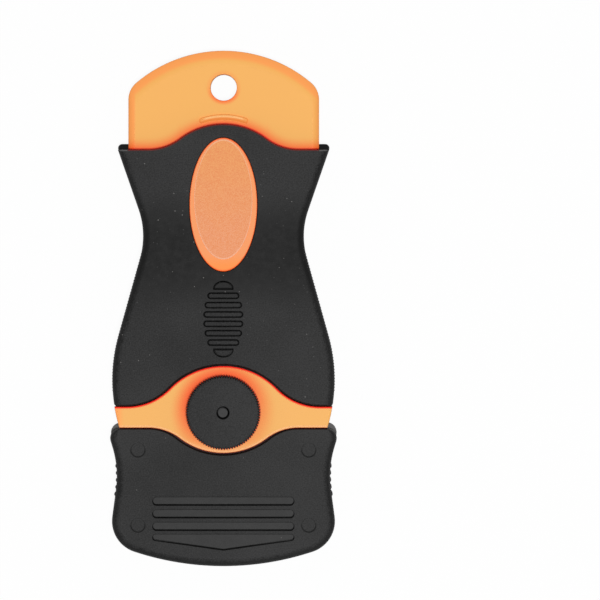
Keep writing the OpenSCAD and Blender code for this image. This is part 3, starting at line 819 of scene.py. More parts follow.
def make_cover_front(plastic):
    levels = [(MID_Z, 0, 0, -COVER_DROP)]
    levels += [(FACE_Z - EDGE_R + rise, inset, inset * COVER_END_ROUND, -COVER_DROP)
               for inset, rise in rounding()]
    shell = skin("cover_front_shell", draw_cover, levels)
    weld(shell, *serrations(MID_Z + SEAM, FACE_Z - EDGE_R))
    roof = FACE_Z - COVER_WALL
    cut(shell, skin("hollow", draw_hollow, [(z, COVER_WALL) for z in (MID_Z - OVER, roof)]))
    weld(shell, *bosses(MID_Z, roof + BOSS_ROOT))
    for x, y in PIN_PLACES:
        cut(shell, rod("shank", x, y, PIN_R + HAIR, 0, FACE_Z),
            rod("seat", x, y - PIN_GAP, PIN_SHOW_R + PIN_GAP, FACE_Z - PIN_HEAD_T, FACE_Z + OVER))
    moats = finger_bars("moat", BAR_MOAT, BAR_SHIFT, FACE_Z - HAIR, FACE_Z + OVER)
    cut(shell, *[taper(moat, BAR_MOAT + BAR_MOAT_LEAN, MOAT_D, BAR_SHIFT) for moat in moats])
    weld(shell, *finger_bars("bar", 0, 0, FACE_Z - MOAT_D - ROOT, FACE_Z + BAR_H, BAR_ROUND))
    dress(shell, plastic, "cover", "cover_plastic", "cover_front")


def make_cover_back(plastic):
    levels = [(MID_Z, 0, 0, COVER_LIP)]
    levels += [(EDGE_R - rise, inset, inset * END_ROUND, COVER_LIP) for inset, rise in rounding()]
    levels.reverse()
    shell = skin("cover_back_shell", draw_cover, levels)
    weld(shell, *serrations(EDGE_R, MID_Z - SEAM))
    cut(shell, skin("hollow", draw_hollow, [(z, COVER_WALL) for z in (COVER_WALL, MID_Z + OVER)]))
    foot = COVER_WALL - BOSS_ROOT
    weld(shell, *bosses(foot, MID_Z))
    for side in (-1, 1):
        x = side * RAIL_AT * JAW_X
        weld(shell, block("rail", x - RAIL_W / 2, x + RAIL_W / 2, JAW_END + JAW_SLOPE, DIP_TOP,
                          foot, JAW_BACK - SLIP))
    for x, y in PIN_PLACES:
        cut(shell, rod("shank", x, y, PIN_R + HAIR, COVER_WALL - PIN_ROOT, FACE_Z))
    dress(shell, plastic, "cover", "cover_plastic", "cover_back")


def make_pins(plastic):
    pins = []
    for x, y in PIN_PLACES:
        head = rod("pin", x, y, PIN_SHOW_R, FACE_Z - PIN_HEAD_T, FACE_Z)
        soften_rim(head, FACE_Z, PIN_ROUND)
        pins.append(weld(head, rod("shank", x, y, PIN_R, pins_lo.z, FACE_Z - PIN_HEAD_T + ROOT)))
    dress(joined("cover_pin_set", pins), plastic, "cover", "cover_plastic", "cover_pins")


# Core, tab and lower jaw

BEAD_GAP = 1.3
BEAD_HALF = 5.6
BEAD_W = 1.6
BEAD_H = 0.32
BEAD_SLOPE = 0.7
BEAD_LEAN = 0.4
BEAD_R = 17.3
BEAD_ROOT = 0.5
HOLE_ROUND = 0.22
CORE_RIB = 3
CELL_N = 4
CELL_FLOOR = 1.2
GUIDE_R = 1.5
GUIDE_ROOM = 0.4
GUIDE_IN = 6.5
GUIDE_X = BELLY_X - GUIDE_IN
GUIDE_Y = (LOW_FLAT + DIP_FLAT) / 2
STUD_R = 2.5
GROOVE_Y0 = strip_lo.y - SLIP
GROOVE_Y1 = strip_hi.y + SLIP


def make_bead():
    """Bead that holds the lip of the grip."""
    def draw_bead(z, inset):
        cy = MOUTH_TOP + BEAD_GAP - BEAD_R
        lean = asin(BEAD_HALF / BEAD_R)
        middle = BEAD_R + BEAD_W / 2 + BEAD_LEAN * inset
        pen = Pen(0, cy + middle + BEAD_W / 2 - inset, z)
        pen.arc(0, cy, lean, 12)
        pen.arc(*polar((0, cy), middle, pi / 2 - lean), pi, 8)
        pen.arc(0, cy, -lean, 12)
    profile = [(TAB_Z1 - BEAD_ROOT, 0)]
    profile += [(TAB_Z1 + BEAD_H * (1 - (1 - t) ** 2), BEAD_SLOPE * t) for t in shares()]
    return skin("bead", draw_bead, profile)


def sloped_jaw(y_end, y_top, back, face, tip):
    """A jaw across the scraper: a block with its end cut to a slope."""
    jaw = block("jaw", -JAW_X, JAW_X, y_end, y_top, min(back, face), max(back, face))
    way = 1 if face > back else -1
    slope = Vector((0, -(face - back - way * tip), JAW_SLOPE)).normalized()
    edit(jaw)
    select_whole()
    bpy.ops.mesh.bisect(plane_co=at(0, y_end, back + way * tip), plane_no=slope * way,
                        use_fill=True, clear_outer=True)
    deselect()
    return jaw


def guides(r, z0, z1):
    return [rod("guide", side * GUIDE_X, GUIDE_Y, r, z0, z1) for side in (-1, 1)]


def groove(z0, z1):
    """Room for the folded strip of the blade."""
    return block("groove", -JAW_X - OVER, JAW_X + OVER, GROOVE_Y0, GROOVE_Y1, z0, z1)


def stud_hole():
    return rod("stud_hole", 0, KNOB_Y, STUD_R + SLIP, 0, FACE_Z)


def make_core(orange):
    levels = [(TAB_Z0, TAB_TOP_R - TAB_BACK_IN, TAB_X - TAB_BACK_IN, TAB_CORNER_R - TAB_BACK_IN),
              (TAB_Z0 + TAB_BACK_T, TAB_TOP_R, TAB_X, TAB_CORNER_R)]
    levels += [(TAB_Z1 - TAB_BEVEL_T * (1 - t) ** 2, TAB_TOP_R - TAB_BEVEL * t, TAB_X - TAB_SIDE_BEVEL * t,
                TAB_CORNER_R - TAB_CORNER_IN * t) for t in shares()]
    core = skin("core_and_tab", draw_tab, levels)
    soften_rim(core, TAB_Z1 - TAB_BEVEL_T, TAB_RIM)
    # Hanging hole with rounded rims
    cut(core, rod("hole", 0, HANG_Y, HANG_R, 0, FACE_Z))
    soften(core, on_circle(0, HANG_Y, HANG_R), HOLE_ROUND)
    weld(core, make_bead())
    # Spine inside the grip, with hollows between its ribs
    inset = SIDE_WALL + SLIP
    spine = skin("spine", draw_inside, [(z, inset, SPINE_TOP, LOW_TOP + 2 * GAP)
                                        for z in (FACE_WALL + SLIP, FACE_Z - FACE_WALL - SLIP)])
    y0 = LOW_TOP + 2 * CORE_RIB
    cell = (SPINE_TOP - y0) / CELL_N
    width = BELLY_X - WAIST_IN - inset - 1.5 * CORE_RIB
    for side in (-1, 1):
        middle = side * (width + CORE_RIB) / 2
        for i in range(CELL_N):
            cut(spine, block("hollow", middle - width / 2, middle + width / 2, y0 + i * cell,
                             y0 + (i + 1) * cell - CORE_RIB, SEAT_Z - CELL_FLOOR, FACE_Z))
    bed = skin("bed", draw_inside, [(z, inset, LOW_TOP + 2 * GAP + OVER, LOW_FLAT - 2 * OVER)
                                    for z in (FACE_WALL + SLIP, SEAT_Z - BED_GAP)])
    rim = band_edge(BED_IN, BAND_ROUND, 1) + [(SEAT_Z, 0)]
    band = skin("band", draw_band, [(z, COVER_LIP, round_in, DIP_WAVE) for z, round_in in rim])
    jaw = sloped_jaw(JAW_END, JAW_TOP, SEAT_Z, JAW_BACK, JAW_TIP_BACK)
    weld(core, spine, bed, band, jaw)
    nut_seat = rod("nut_seat", 0, KNOB_Y, nut_hi.x + HAIR, 0, nut_hi.z, 6)
    cut(core, stud_hole(), nut_seat, groove(strip_lo.z - HAIR, FACE_Z))
    cut(core, *guides(GUIDE_R + SLIP, plate_lo.z - GUIDE_ROOM, FACE_Z))
    dress(core, orange, "handle", "orange_plastic", "core_frame")


# Clamp plate and upper jaw

SINK_R = 5.2
SINK_D = 2


def make_clamp(orange):
    rim = [(PLATE_Z, 0)] + band_edge(plate_hi.z, CLAMP_ROUND, -1)[::-1]
    levels = [(z, 0, round_in, CLAMP_WAVE) for z, round_in in rim]
    clamp = skin("clamp_band", draw_band, levels, hold=CLAMP_ROUND)
    weld(clamp, sloped_jaw(JAW_END + JAW_STEP, JAW_TOP, PLATE_Z, JAW_FRONT, JAW_TIP_FRONT))
    weld(clamp, *guides(GUIDE_R, plate_lo.z, PLATE_Z + OVER))
    cut(clamp, groove(0, strip_hi.z + HAIR), stud_hole(),
        rod("sink", 0, KNOB_Y, SINK_R, 0, PLATE_Z + SINK_D),
        rod("washer_seat", 0, KNOB_Y, washer_hi.x + SLIP, washer_lo.z, FACE_Z))
    dress(clamp, orange, "clamp", "orange_plastic", "clamp_plate")


# Knob

KNOB_TEETH = 86
TIP_R = KNOB_R + 0.2
TOOTH_D = 0.55
# Rise and shrink of each step of the rounded edge, and their height together
KNOB_EDGE = ((0.28, 0.992), (0.15, 0.982), (0.07, 0.968))
KNOB_EDGE_H = 0.5
KNOB_FLAT_IN = 0.6
KNOB_WALL = 1.6
KNOB_ROOF = 2.2
HUB_WALL = 1.4
MARK_R = 1.75
MARK_W = 0.42
MARK_D = 0.9
MARK_LEAN = 0.1
MARK_RISE = 0.14
MARK_LEFT = 0.04
MARK_SIDES = 48


def make_knob(plastic):
    knob = ellipse("toothed_knob", KNOB_Y, TIP_R, TIP_R, knob_lo.z, 2 * KNOB_TEETH)
    pick("VERT", lambda v: v.index % 2 == 0)
    root = (TIP_R - TOOTH_D) / TIP_R
    bpy.ops.transform.resize(value=(root, root, 1), center_override=at(0, KNOB_Y, 0))
    pick("FACE", lambda face: True)
    raise_face(knob_hi.z - knob_lo.z - KNOB_EDGE_H)
    for rise, shrink in KNOB_EDGE:
        raise_face(rise, (shrink, shrink), (0, KNOB_Y))
    bpy.ops.mesh.inset(thickness=KNOB_FLAT_IN * MM)
    outward()
    hollow = rod("hollow", 0, KNOB_Y, TIP_R - TOOTH_D - KNOB_WALL, knob_lo.z - OVER, knob_hi.z - KNOB_ROOF)
    cut(hollow, rod("hub", 0, KNOB_Y, nut_hi.x + HUB_WALL, 0, FACE_Z * 2))
    cut(knob, hollow, rod("stud_seat", 0, KNOB_Y, stud_hi.x + HAIR, 0, stud_hi.z, 6))
    # Ring on top, around a dot a little off its middle
    ring = rod("ring", 0, KNOB_Y, MARK_R, knob_hi.z - HAIR, knob_hi.z + OVER, MARK_SIDES)
    taper(ring, MARK_W + MARK_LEAN, MARK_D, MARK_RISE)
    dot = rod("dot", -MARK_LEFT, KNOB_Y + MARK_RISE, MARK_R - MARK_W, 0, knob_hi.z + 2 * OVER, MARK_SIDES)
    cut(knob, cut(ring, dot))
    dress(knob, plastic, "knob", "knob_plastic", "knob")


# Materials

# Colours mostly painted in for light and shade: deeper oranges, reds and blacks for shade and shadow, paler ones
# for highlights, a dark red for reflected light
EDGE_SHADE_ORANGE = (1.0, 0.37, 0.1, 1)
HIGHLIGHT_ORANGE = (1.0, 0.53, 0.2, 1)
PINK_HIGHLIGHT_ORANGE = (1.0, 0.5, 0.24, 1)
FOOT_ORANGE = (0.95, 0.29, 0.06, 1)
DEEP_SHADE_ORANGE = (1.0, 0.065, 0.004, 1)
EDGE_SHADE_RED = (0.95, 0.015, 0.01, 1)
LINE_SHADE_RED = (0.3, 0.008, 0.012, 1)
KNOB_SHADE_RED = (0.7, 0.02, 0.02, 1)
MOUTH_REFLECTION_RED = (0.2, 0.006, 0.009, 1)
GAP_SHADE_RED = (0.03, 0.001, 0.003, 1)
# Painted shade on black parts: rounded edges, the waist, grooves, gaps and the lip of the mouth
SHADE_BLACK = (0.001, 0.001, 0.001, 1)
CROWN_HIGHLIGHT_BLACK = (0.04, 0.04, 0.04, 1)
HIGHLIGHT_BLACK = (0.16, 0.16, 0.16, 1)
# Dust and lint on the black parts, and white
DUST = (0.32, 0.31, 0.3, 1)
LINT = (0.2, 0.2, 0.2, 1)
COVER_DUST = (0.3, 0.29, 0.28, 1)
WHITE = (1, 1, 1, 1)
# Darkest and palest tone of each mottled colour
CORE_TONES = (0.9, 0.433, 0.104, 1), (0.92, 0.466, 0.121, 1)
CLAMP_TONES = (0.885, 0.434, 0.113, 1), (0.905, 0.467, 0.13, 1)
BADGE_TONES = (0.89, 0.305, 0.1, 1), (0.91, 0.335, 0.13, 1)
LABEL_TONES = (0.72, 0.205, 0.06, 1), (0.81, 0.29, 0.105, 1)
RUBBER_TONES = 0.001, 0.031
KNOB_TONES = 0.003, 0.03
COVER_TONES = 0.003, 0.031
# Print of the label, from its lower to its upper end, and the line around it
PRINT_TONES = (0.87, 0.41, 0.24, 1), (0.87, 0.42, 0.14, 1)
LABEL_RIM = (0.95, 0.66, 0.5, 1)
PLATED = (0.6, 0.61, 0.62)
GROUND = (0.66, 0.68, 0.7)
FOLDED = (0.75, 0.76, 0.77)


class Wire:
    """A socket of a material, with arithmetic."""

    def __init__(self, finish, socket):
        self.finish, self.socket = finish, socket

    def math(self, operation, *others):
        values = dict(enumerate((self, *others)))
        return self.finish.add("ShaderNodeMath", {"operation": operation}, values)

    __add__ = __radd__ = partialmethod(math, "ADD")
    __sub__ = partialmethod(math, "SUBTRACT")
    __mul__ = __rmul__ = partialmethod(math, "MULTIPLY")
    __neg__ = partialmethod(math, "MULTIPLY", -1)
    __pow__ = partialmethod(math, "POWER")
    __abs__ = partialmethod(math, "ABSOLUTE")

    def __rsub__(self, other):
        return self.finish.add("ShaderNodeMath", {"operation": "SUBTRACT"}, {0: other, 1: self})

    def ramp(self, low, high):
        """0 at low, 1 at high, smooth between."""
        return self.finish.add("ShaderNodeMapRange", {"interpolation_type": "SMOOTHSTEP"}, {
            "Value": self, "From Min": low, "From Max": high})

    def fade(self, low, high):
        """1 at low, 0 at high, smooth between."""
        return 1 - self.ramp(low, high)


class Finish:
    """One material: its shader, the nodes that feed it, and the place on the piece, also in mm."""

    def __init__(self, name, **constants):
        self.material = bpy.data.materials.new(name)
        self.material.use_nodes = True
        self.tree = self.material.node_tree
        self.shader = self.tree.nodes["Principled BSDF"]
        self.feed(self.shader, constants)
        self.place = self.add("ShaderNodeTexCoord", out="Object")
        scale = {"Vector": self.place, "Scale": 1 / MM}
        self.mm = self.split(self.add("ShaderNodeVectorMath", {"operation": "SCALE"}, scale))

    def add(self, kind, settings=None, sockets=None, out=0):
        """Adds a node, sets its settings first, then the values or links of its sockets."""
        node = self.tree.nodes.new(kind)
        for key, value in (settings or {}).items():
            setattr(node, key, value)
        self.feed(node, sockets or {})
        return Wire(self, node.outputs[out])

    def feed(self, node, sockets):
        for key, value in sockets.items():
            socket = node.inputs[key.replace("_", " ") if isinstance(key, str) else key]
            if isinstance(value, Wire):
                self.tree.links.new(value.socket, socket)
            else:
                socket.default_value = value

    def split(self, vector):
        node = self.add("ShaderNodeSeparateXYZ", sockets={"Vector": vector}).socket.node
        return [Wire(self, node.outputs[axis]) for axis in range(3)]

    def rounding(self):
        """1 on the rounded edges of the front, 0 on flat faces and side walls."""
        up = self.split(self.add("ShaderNodeTexCoord", out="Normal"))[2]
        return up.fade(0.76, 0.98) * up.ramp(0.2, 0.6)

    def grain(self, size, detail=2.0, stretch=(1, 1, 1)):
        """Noise with features of a size in millimetres, about 0.5."""
        where = self.add("ShaderNodeMapping", sockets={"Vector": self.place, "Scale": stretch})
        return self.add("ShaderNodeTexNoise", sockets={
            "Vector": where, "Scale": 1 / (size * MM), "Detail": detail})

    def specks(self, pitch, share, size):
        """Sparse specks: a share of the cells of a pitch holds one, of a size, both in millimetres."""
        near = self.add("ShaderNodeTexVoronoi", sockets={"Vector": self.place, "Scale": 1 / (pitch * MM)})
        lot = Wire(self, near.socket.node.outputs["Color"])
        chosen = self.add("ShaderNodeSeparateColor", sockets={"Color": lot}).math("LESS_THAN", share)
        return chosen * near.fade(0.4 * size / pitch, size / pitch)

    def blend(self, share, a, b):
        return self.add("ShaderNodeMix", {"data_type": "RGBA"}, {"Factor": share, 6: a, 7: b}, out=2)

    def bump(self, height, depth, strength):
        """Bump with a depth in millimetres."""
        return self.add("ShaderNodeBump", sockets={
            "Height": height, "Distance": depth * MM, "Strength": strength})

    def shade(self, **sockets):
        self.feed(self.shader, sockets)
        return self.material


class Sky(Finish):
    """The light around the scraper."""

    def __init__(self, name):
        self.world = bpy.data.worlds.new(name)
        self.world.use_nodes = True
        self.tree = self.world.node_tree
        self.shader = self.tree.nodes["Background"]


# Masks from 0 to 1, for what tints each piece: most paint shade, shadow, highlights and reflected light into its
# colour

def away(dx, dy):
    """Distance from a point, from the distances along two axes."""
    return (dx ** 2 + dy ** 2) ** 0.5


def from_knob(x, y):
    return away(x, y - KNOB_Y)


def oval_reach(x, y, lo, hi):
    """0 at the middle of an oval piece, 1 at its edge."""
    middle, a, b = oval(lo, hi)
    return away(x * (1 / a), (y - middle) * (1 / b))


def past(x, y, wave):
    """Distance past an S-shaped edge, on the side away from its crest or dip."""
    side, up = abs(x), y * wave.side
    top, flat = wave.top * wave.side, wave.flat * wave.side
    crest = wave.r - away(side, up - (top - wave.r))
    rise = (up - (flat + wave.r2)).math("MINIMUM", 0)
    rest = away(side.math("MINIMUM", wave.run) - wave.run, rise) - wave.r2
    return crest + (rest - crest) * side.math("GREATER_THAN", wave.r * sin(wave.lean))


def at_front(z, face):
    """1 at a front face, 0 from a little behind it."""
    return z.ramp(face - 1.6, face - 0.6)


def on_tab(y):
    return y.ramp(MOUTH_FLAT - 3, MOUTH_FLAT - 1)


def on_band(z):
    return z.ramp(plate_hi.z - 0.5, plate_hi.z - 0.2)


def mouth_corner_light_and_shade(x, y, z):
    """Painted highlight on the front edge of the grip beside the tab, and painted shade on the lip behind it."""
    beside = abs(x).ramp(TAB_X - 0.2, TAB_X + 0.2)
    edge = y.ramp(MOUTH_FLAT - 0.6, MOUTH_FLAT - 0.2)
    return beside * edge * at_front(z, FACE_Z), beside * z.fade(FACE_Z - 3, FACE_Z - 1.5)


def mouth_edge_reflection(x, y, z):
    """Painted red reflection of the tab on the front edge of the grip's mouth."""
    edge = past(x, y, MOUTH_WAVE).fade(0.05, 0.5) * abs(x).fade(TAB_X - 0.3, TAB_X + 0.1)
    return edge * on_tab(y) * at_front(z, FACE_Z) * 0.8


# Painted highlight on the dot on top of the knob
def knob_dot_highlight(x, y, z):
    return (x ** 2 + (y - KNOB_Y) ** 2).fade((MARK_R - MARK_W) ** 2, MARK_R ** 2) * 0.8


def knob_ring_shade(x, y, z):
    """Painted shade in the groove around the dot, but for its upper left."""
    groove = abs(from_knob(x, y) - (MARK_R - MARK_W / 2)).fade(MARK_W / 2, MARK_W)
    return groove * (x - y + KNOB_Y).ramp(-2.6, -1)


# Painted highlight on the crowns of the finger bars
def bar_crown_highlights(x, y, z):
    return z.ramp(FACE_Z + 0.05, FACE_Z + BAR_H) * 0.5


def pin_gap_shade(x, y, z):
    """Painted shade on the lower half of the gap around each pin head."""
    middle = sum(PIN_YS) / 2
    off_x, off_y = abs(x) - PIN_X, abs(y - middle) - (PIN_YS[1] - middle)
    ring = abs(away(off_x, off_y) - (PIN_SHOW_R + PIN_GAP)).fade(PIN_GAP, 3 * PIN_GAP)
    below = (off_y * (y - middle).math("SIGN")).fade(-0.8, 0.8)
    return ring * below * z.ramp(FACE_Z - 1.2, FACE_Z - 0.8)


def cover_edge_highlights(x, y, z):
    """Painted highlights on the tips of the serrations, and on the back half where it shows past the front's
    corners.
    """
    side = abs(x)
    reach = away(side - COVER_WAIST_C[0], y - COVER_WAIST_C[1])
    tips = (COVER_WAIST_R - reach).ramp(0.06, NOTCH_H) * 0.8
    corners = side.ramp(COVER_X - 7, COVER_X - 3) * y.ramp(DIP_FLAT - 4, DIP_FLAT)
    return tips.math("MAXIMUM", corners * z.fade(MID_Z, MID_Z + 0.3) * 0.6)


def tab_edge_shade(x, y, z):
    """Painted shade on the rounded edge of the tab, along its top and most on its left."""
    top = away(x, y - (TAB_TOP - TAB_TOP_R)).ramp(TAB_TOP_R - 2.9, TAB_TOP_R - 1.5)
    side = abs(x).ramp(TAB_X - 2.2, TAB_X - 1.4) * (0.6 - x * (0.4 / TAB_X))
    return top.math("MAXIMUM", side) * on_tab(y)


def off_bead(x, y):
    """Distance outward from the middle line of the bead."""
    return away(x, y - (MOUTH_TOP + BEAD_GAP - BEAD_R)) - (BEAD_R + BEAD_W / 2)


# Painted highlight along the crest of the bead
def bead_crest_highlight(x, y, z):
    return abs(off_bead(x, y) - 0.22).fade(0.1, 0.4) * abs(x).fade(BEAD_HALF - 0.8, BEAD_HALF) * 0.8


# Painted shade along the lower slope of the bead
def bead_foot_shade(x, y, z):
    return abs(off_bead(x, y) + 0.5).fade(0.2, 0.55) * abs(x).fade(BEAD_HALF - 0.6, BEAD_HALF + 0.2) * 0.85


def mouth_and_hole_shade(x, y, z):
    """Painted shade on the tab toward the mouth of the grip and around the hole, most under it."""
    mouth = (-past(x, y, MOUTH_WAVE)).fade(-0.8, 4.2) ** 1.4 * on_tab(y)
    hole = away(x, y - HANG_Y).fade(HANG_R, HANG_R + 1.5) * (0.2 + 0.55 * (HANG_Y - y).ramp(-1, 3.5))
    return mouth.math("MAXIMUM", hole) * 0.95


# Painted shade: a red line on the tab along the mouth of the grip
def mouth_line_shade(x, y, z):
    return (-past(x, y, MOUTH_WAVE)).fade(0.15, 0.8) * on_tab(y)


def knob_shadow(x, y, z):
    """Painted shadow of the knob on the band around it, most on its upper left."""
    upper_left = (y - KNOB_Y) * 0.91 - x * 0.42
    return from_knob(x, y).fade(KNOB_R - 0.5, KNOB_R + 5) * (0.36 + 0.6 * upper_left.ramp(-11, 11))


def under_knob_light(x, y, z):
    """Painted light on the pale crescent of the band between the knob and the cover."""
    edge = past(x, y, CLAMP_WAVE).fade(GAP + 0.8, GAP + 2.6)
    return edge * y.fade(DIP_TOP + 1.5, DIP_TOP + 4.5) * on_band(z) * 0.4


# Painted shade in red on the band right around the knob's teeth
def knob_rim_shade(x, y, z):
    return from_knob(x, y).fade(KNOB_R - 0.1, KNOB_R + 0.4) * 0.8


def band_highlight(x, y, z):
    """Painted highlight on the edge of the band along the cover."""
    into = past(x, y, CLAMP_WAVE)
    return into.ramp(GAP + 0.2, GAP + 0.35) * into.fade(GAP + 0.5, GAP + 0.9) * on_band(z) * 0.6


# Painted shade: a dark red line on the band's lower edge along the cover
def band_line_shade(x, y, z):
    return past(x, y, CLAMP_WAVE).fade(GAP + 0.1, GAP + 0.3) * z.ramp(plate_hi.z - 1, plate_hi.z - 0.5)


# Painted shade in deeper orange on the left end of the band
def band_end_shade(x, y, z):
    return (-x).ramp(BELLY_X - 3.5, BELLY_X - 1.2) * at_front(z, plate_hi.z)


# Painted shade: a red line on the band along the lower edge of the grip
def grip_edge_shade(x, y, z):
    edge = past(x, y, LOW_WAVE).fade(BAND_GAP + 0.2, BAND_GAP + 0.75)
    return edge * y.ramp(DIP_FLAT, DIP_FLAT + 3) * at_front(z, plate_hi.z)


def cover_gap_shade(x, y, z):
    """Painted shade on the wall of the band behind its front edge, in the gap along the cover."""
    into = past(x, y, CLAMP_WAVE)
    wall = into.ramp(-0.5, -0.3) * into.fade(GAP - 0.05, GAP + 0.1)
    return wall * z.fade(plate_hi.z - 1.5, plate_hi.z - 0.8)


# Painted shade in deeper orange around the rim of the badge
def badge_rim_shade(x, y, z):
    return oval_reach(x, y, badge_lo, badge_hi).ramp(0.96, 1.0) * 0.76


def badge_foot(x, y, z):
    return y.fade(badge_lo.y + 1, label_lo.y + 2)


# Finishes

def mottled(f, low, high):
    """Black that varies in clouds, blotches and grains, with painted shade on its rounded edges."""
    cloud = f.grain(size=24, detail=3)
    blotch = f.grain(size=1.6, detail=4)
    grains = f.grain(size=0.34)
    share = cloud * 0.7 + blotch * 0.6 + grains * 1.7 - 1.0
    base = f.blend(share.ramp(0, 1), (low, low, low * 1.01, 1), (high, high, high * 1.01, 1))
    return f.blend(f.rounding() * 0.55, base, SHADE_BLACK), blotch, grains


def black_rubber():
    f = Finish("black_rubber", Specular_IOR_Level=0.14)
    base, blotch, grains = mottled(f, *RUBBER_TONES)
    edge_highlight, dark = mouth_corner_light_and_shade(*f.mm)
    # Painted shade in a band across the waist of the grip
    base = f.blend(abs(f.mm[1] - WAIST_SHADE_Y).fade(3, 19) * 0.9, base, SHADE_BLACK)
    # Painted highlight on the front edge beside the tab, painted shade on the lip behind it
    base = f.blend(dark, f.blend(edge_highlight * 0.6, base, HIGHLIGHT_BLACK), SHADE_BLACK)
    # Painted red reflection of the tab on the edge of the mouth
    base = f.blend(mouth_edge_reflection(*f.mm), base, MOUTH_REFLECTION_RED)
    dust = f.specks(pitch=2.0, share=0.6, size=0.2) * blotch.ramp(0.38, 0.6)
    lint = f.specks(pitch=0.9, share=0.25, size=0.14) * blotch.ramp(0.42, 0.65)
    base = f.blend(lint * 0.45, f.blend(dust * 0.55, base, DUST), LINT)
    return f.shade(Base_Color=base, Roughness=0.4 + 0.2 * blotch + 0.2 * grains,
                   Normal=f.bump(grains * 0.5 + blotch * 0.5, depth=0.15, strength=0.8))


def moulded_black(name, tones, crown, groove, edge_highlight=None, dusty=0):
    """Black plastic, with masks of painted highlights on its crowns, painted shade in its grooves and painted
    highlights on its edges.
    """
    f = Finish(name, Specular_IOR_Level=0.14)
    base, blotch, grains = mottled(f, *tones)
    base = f.blend(crown(*f.mm), base, CROWN_HIGHLIGHT_BLACK)
    if edge_highlight:
        base = f.blend(edge_highlight(*f.mm), base, HIGHLIGHT_BLACK)
    base = f.blend(groove(*f.mm), base, SHADE_BLACK)
    if dusty:
        base = f.blend(f.specks(pitch=2.6, share=dusty, size=0.17) * 0.4, base, COVER_DUST)
    return f.shade(Base_Color=base, Roughness=0.42 + 0.2 * blotch + 0.16 * grains,
                   Normal=f.bump(grains * 0.6 + blotch * 0.4, depth=0.1, strength=0.7))


def orange_plastic(name, tones, *tints):
    """Orange plastic, with painted shade in deeper orange on its rounded edges, then masks and the colours that
    they bring.
    """
    f = Finish(name, Specular_IOR_Level=0.1)
    cloud = f.grain(size=14, detail=3)
    fine = f.grain(size=0.5)
    base = f.blend(f.rounding() * 0.7, f.blend(cloud, *tones), EDGE_SHADE_ORANGE)
    for mask, colour in tints:
        base = f.blend(mask(*f.mm), base, colour)
    return f.shade(Base_Color=base, Roughness=0.38 + 0.12 * cloud + 0.06 * fine,
                   Normal=f.bump(fine, depth=0.02, strength=0.4))


def label_film():
    f = Finish("label_film", Specular_IOR_Level=0.12)
    x, y = f.mm[:2]
    rim = oval_reach(x, y, label_lo, label_hi).ramp(0.965, 0.985)
    cloud = f.grain(size=2.5, detail=5)
    print_grain = f.grain(size=0.24, detail=3)
    pale = f.blend(y.ramp(label_lo.y, label_hi.y), *PRINT_TONES)
    base = f.blend(print_grain.ramp(0.3, 0.7) * 0.7, f.blend(cloud, *LABEL_TONES), pale)
    base = f.blend(rim * 0.3, base, LABEL_RIM)
    return f.shade(Base_Color=base, Roughness=0.42 + 0.15 * cloud,
                   Normal=f.bump(print_grain, depth=0.02, strength=0.4))


def steel(name, tone, rough, stretch):
    """Steel with fine lines, drawn out along the axes where the stretch is small."""
    f = Finish(name, Metallic=1.0)
    lines = f.grain(size=0.4, detail=4, stretch=stretch)
    cloud = f.grain(size=5, detail=3)
    base = f.blend(lines, (*(0.8 * t for t in tone), 1), (*tone, 1))
    return f.shade(Base_Color=base, Roughness=rough + 0.15 * cloud + 0.1 * lines,
                   Normal=f.bump(lines, depth=0.01, strength=0.5))


def paint(node, material):
    for slot in frame["nodes"][node].material_slots:
        slot.material = material


# The scraper

make_grip(black_rubber())
make_core(orange_plastic("orange_plastic", CORE_TONES, (tab_edge_shade, EDGE_SHADE_ORANGE), (mouth_and_hole_shade, DEEP_SHADE_ORANGE),
                         (mouth_line_shade, EDGE_SHADE_RED), (bead_foot_shade, FOOT_ORANGE), (bead_crest_highlight, HIGHLIGHT_ORANGE)))
make_clamp(orange_plastic("clamp_plastic", CLAMP_TONES, (band_end_shade, EDGE_SHADE_ORANGE), (knob_shadow, DEEP_SHADE_ORANGE),
                          (under_knob_light, HIGHLIGHT_ORANGE), (knob_rim_shade, KNOB_SHADE_RED), (band_highlight, PINK_HIGHLIGHT_ORANGE),
                          (band_line_shade, LINE_SHADE_RED), (grip_edge_shade, EDGE_SHADE_RED), (cover_gap_shade, GAP_SHADE_RED)))
make_knob(moulded_black("knob_plastic", KNOB_TONES, knob_dot_highlight, knob_ring_shade))
cover_black = moulded_black("cover_plastic", COVER_TONES, bar_crown_highlights, pin_gap_shade, cover_edge_highlights, dusty=0.08)
make_cover_front(cover_black)
make_cover_back(cover_black)
make_pins(cover_black)
dress(oval_plate("oval_badge", badge_lo, badge_hi, BADGE_RIM),
      orange_plastic("badge_plastic", BADGE_TONES, (badge_foot, FOOT_ORANGE), (badge_rim_shade, DEEP_SHADE_ORANGE)),
      "handle", "badge_plastic", "badge_insert")
dress(oval_plate("oval_label", label_lo, label_hi, FILM_RIM), label_film(),
      "handle", "label_film", "badge_label")

plated = steel("plated_steel", PLATED, rough=0.3, stretch=(1, 1, 4))
for node in ("clamp_nut", "thrust_washer", "knob_stud", "retaining_ring"):
    paint(node, plated)
paint("blade", steel("blade_steel", GROUND, rough=0.2, stretch=(0.15, 3, 1)))
paint("blade_back", steel("back_strip", FOLDED, rough=0.35, stretch=(0.1, 2, 2)))


# Floor, light and camera: sizes in metres, the view in millimetres

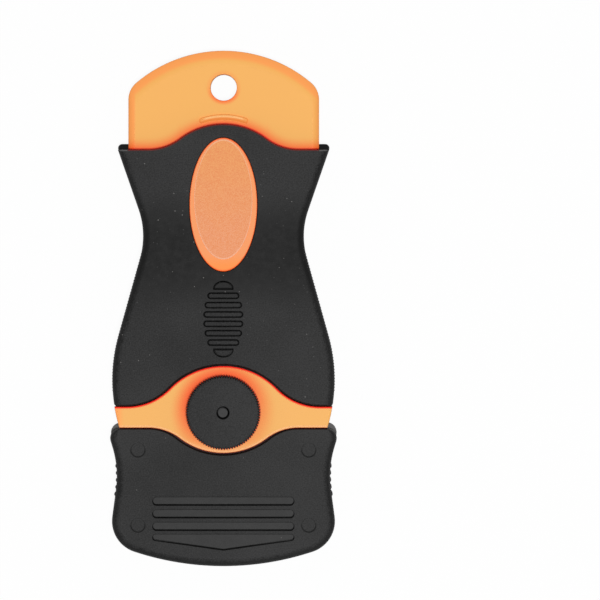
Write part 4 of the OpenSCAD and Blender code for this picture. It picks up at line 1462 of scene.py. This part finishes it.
FLOOR_SIZE = 4
FLOOR_GAP = 0.05
FLOOR_GLOW = 0.93
FLOOR_DIM = (0.3, 0.3, 0.3, 1)
FLOOR_PALE = (0.9, 0.9, 0.9, 1)
WORLD_LIGHT = 0.25
KEY_SIZE = 0.15
KEY_POWER = 11.7
KEY_PLACE = (0.05, -0.07, 1.25)
VIEW_MM = 162
VIEW_PLANE = 12
VIEW_X = 20.65
VIEW_Y = 2.16
CAMERA_MM = 1200


def seen(f):
    """1 for the rays that show the background: seen straight, mirrored or through."""
    rays = f.add("ShaderNodeLightPath").socket.node.outputs
    kinds = ("Is Camera Ray", "Is Glossy Ray", "Is Transmission Ray")
    straight, mirrored, through = (Wire(f, rays[kind]) for kind in kinds)
    return straight.math("MAXIMUM", mirrored).math("MAXIMUM", through)


def make_floor():
    deselect()
    bpy.ops.mesh.primitive_plane_add(size=FLOOR_SIZE, location=at(0, 0, -FLOOR_GAP))
    floor = placed("floor")
    f = Finish("floor_white", Roughness=0.9)
    path = seen(f)
    f.shade(Base_Color=f.blend(path, FLOOR_DIM, FLOOR_PALE))
    glow = f.add("ShaderNodeEmission", sockets={"Color": WHITE, "Strength": 1.0}, out="Emission")
    surface = Wire(f, f.shader.outputs["BSDF"])
    mixed = f.add("ShaderNodeMixShader", sockets={0: path * FLOOR_GLOW, 1: surface, 2: glow})
    f.tree.links.new(mixed.socket, f.tree.nodes["Material Output"].inputs["Surface"])
    floor.data.materials.append(f.material)


def make_light():
    sky = Sky("studio")
    sky.feed(sky.shader, {"Color": WHITE, "Strength": WORLD_LIGHT + seen(sky) * (1 - WORLD_LIGHT)})
    bpy.context.scene.world = sky.world
    lamp = bpy.data.lights.new("key", "AREA")
    lamp.shape = "DISK"
    lamp.size = KEY_SIZE
    lamp.energy = KEY_POWER
    key = bpy.data.objects.new("key", lamp)
    key.location = KEY_PLACE
    key.rotation_euler = (-Vector(KEY_PLACE)).to_track_quat("-Z", "Y").to_euler()
    bpy.context.scene.collection.objects.link(key)


def make_camera():
    lens = bpy.data.cameras.new("camera")
    lens.angle = 2 * atan(VIEW_MM / 2 / (CAMERA_MM - VIEW_PLANE))
    camera = bpy.data.objects.new("camera", lens)
    camera.location = at(VIEW_X, VIEW_Y, CAMERA_MM)
    bpy.context.scene.collection.objects.link(camera)
    bpy.context.scene.camera = camera


make_floor()
make_light()
make_camera()
bpy.context.scene.view_settings.view_transform = "Standard"
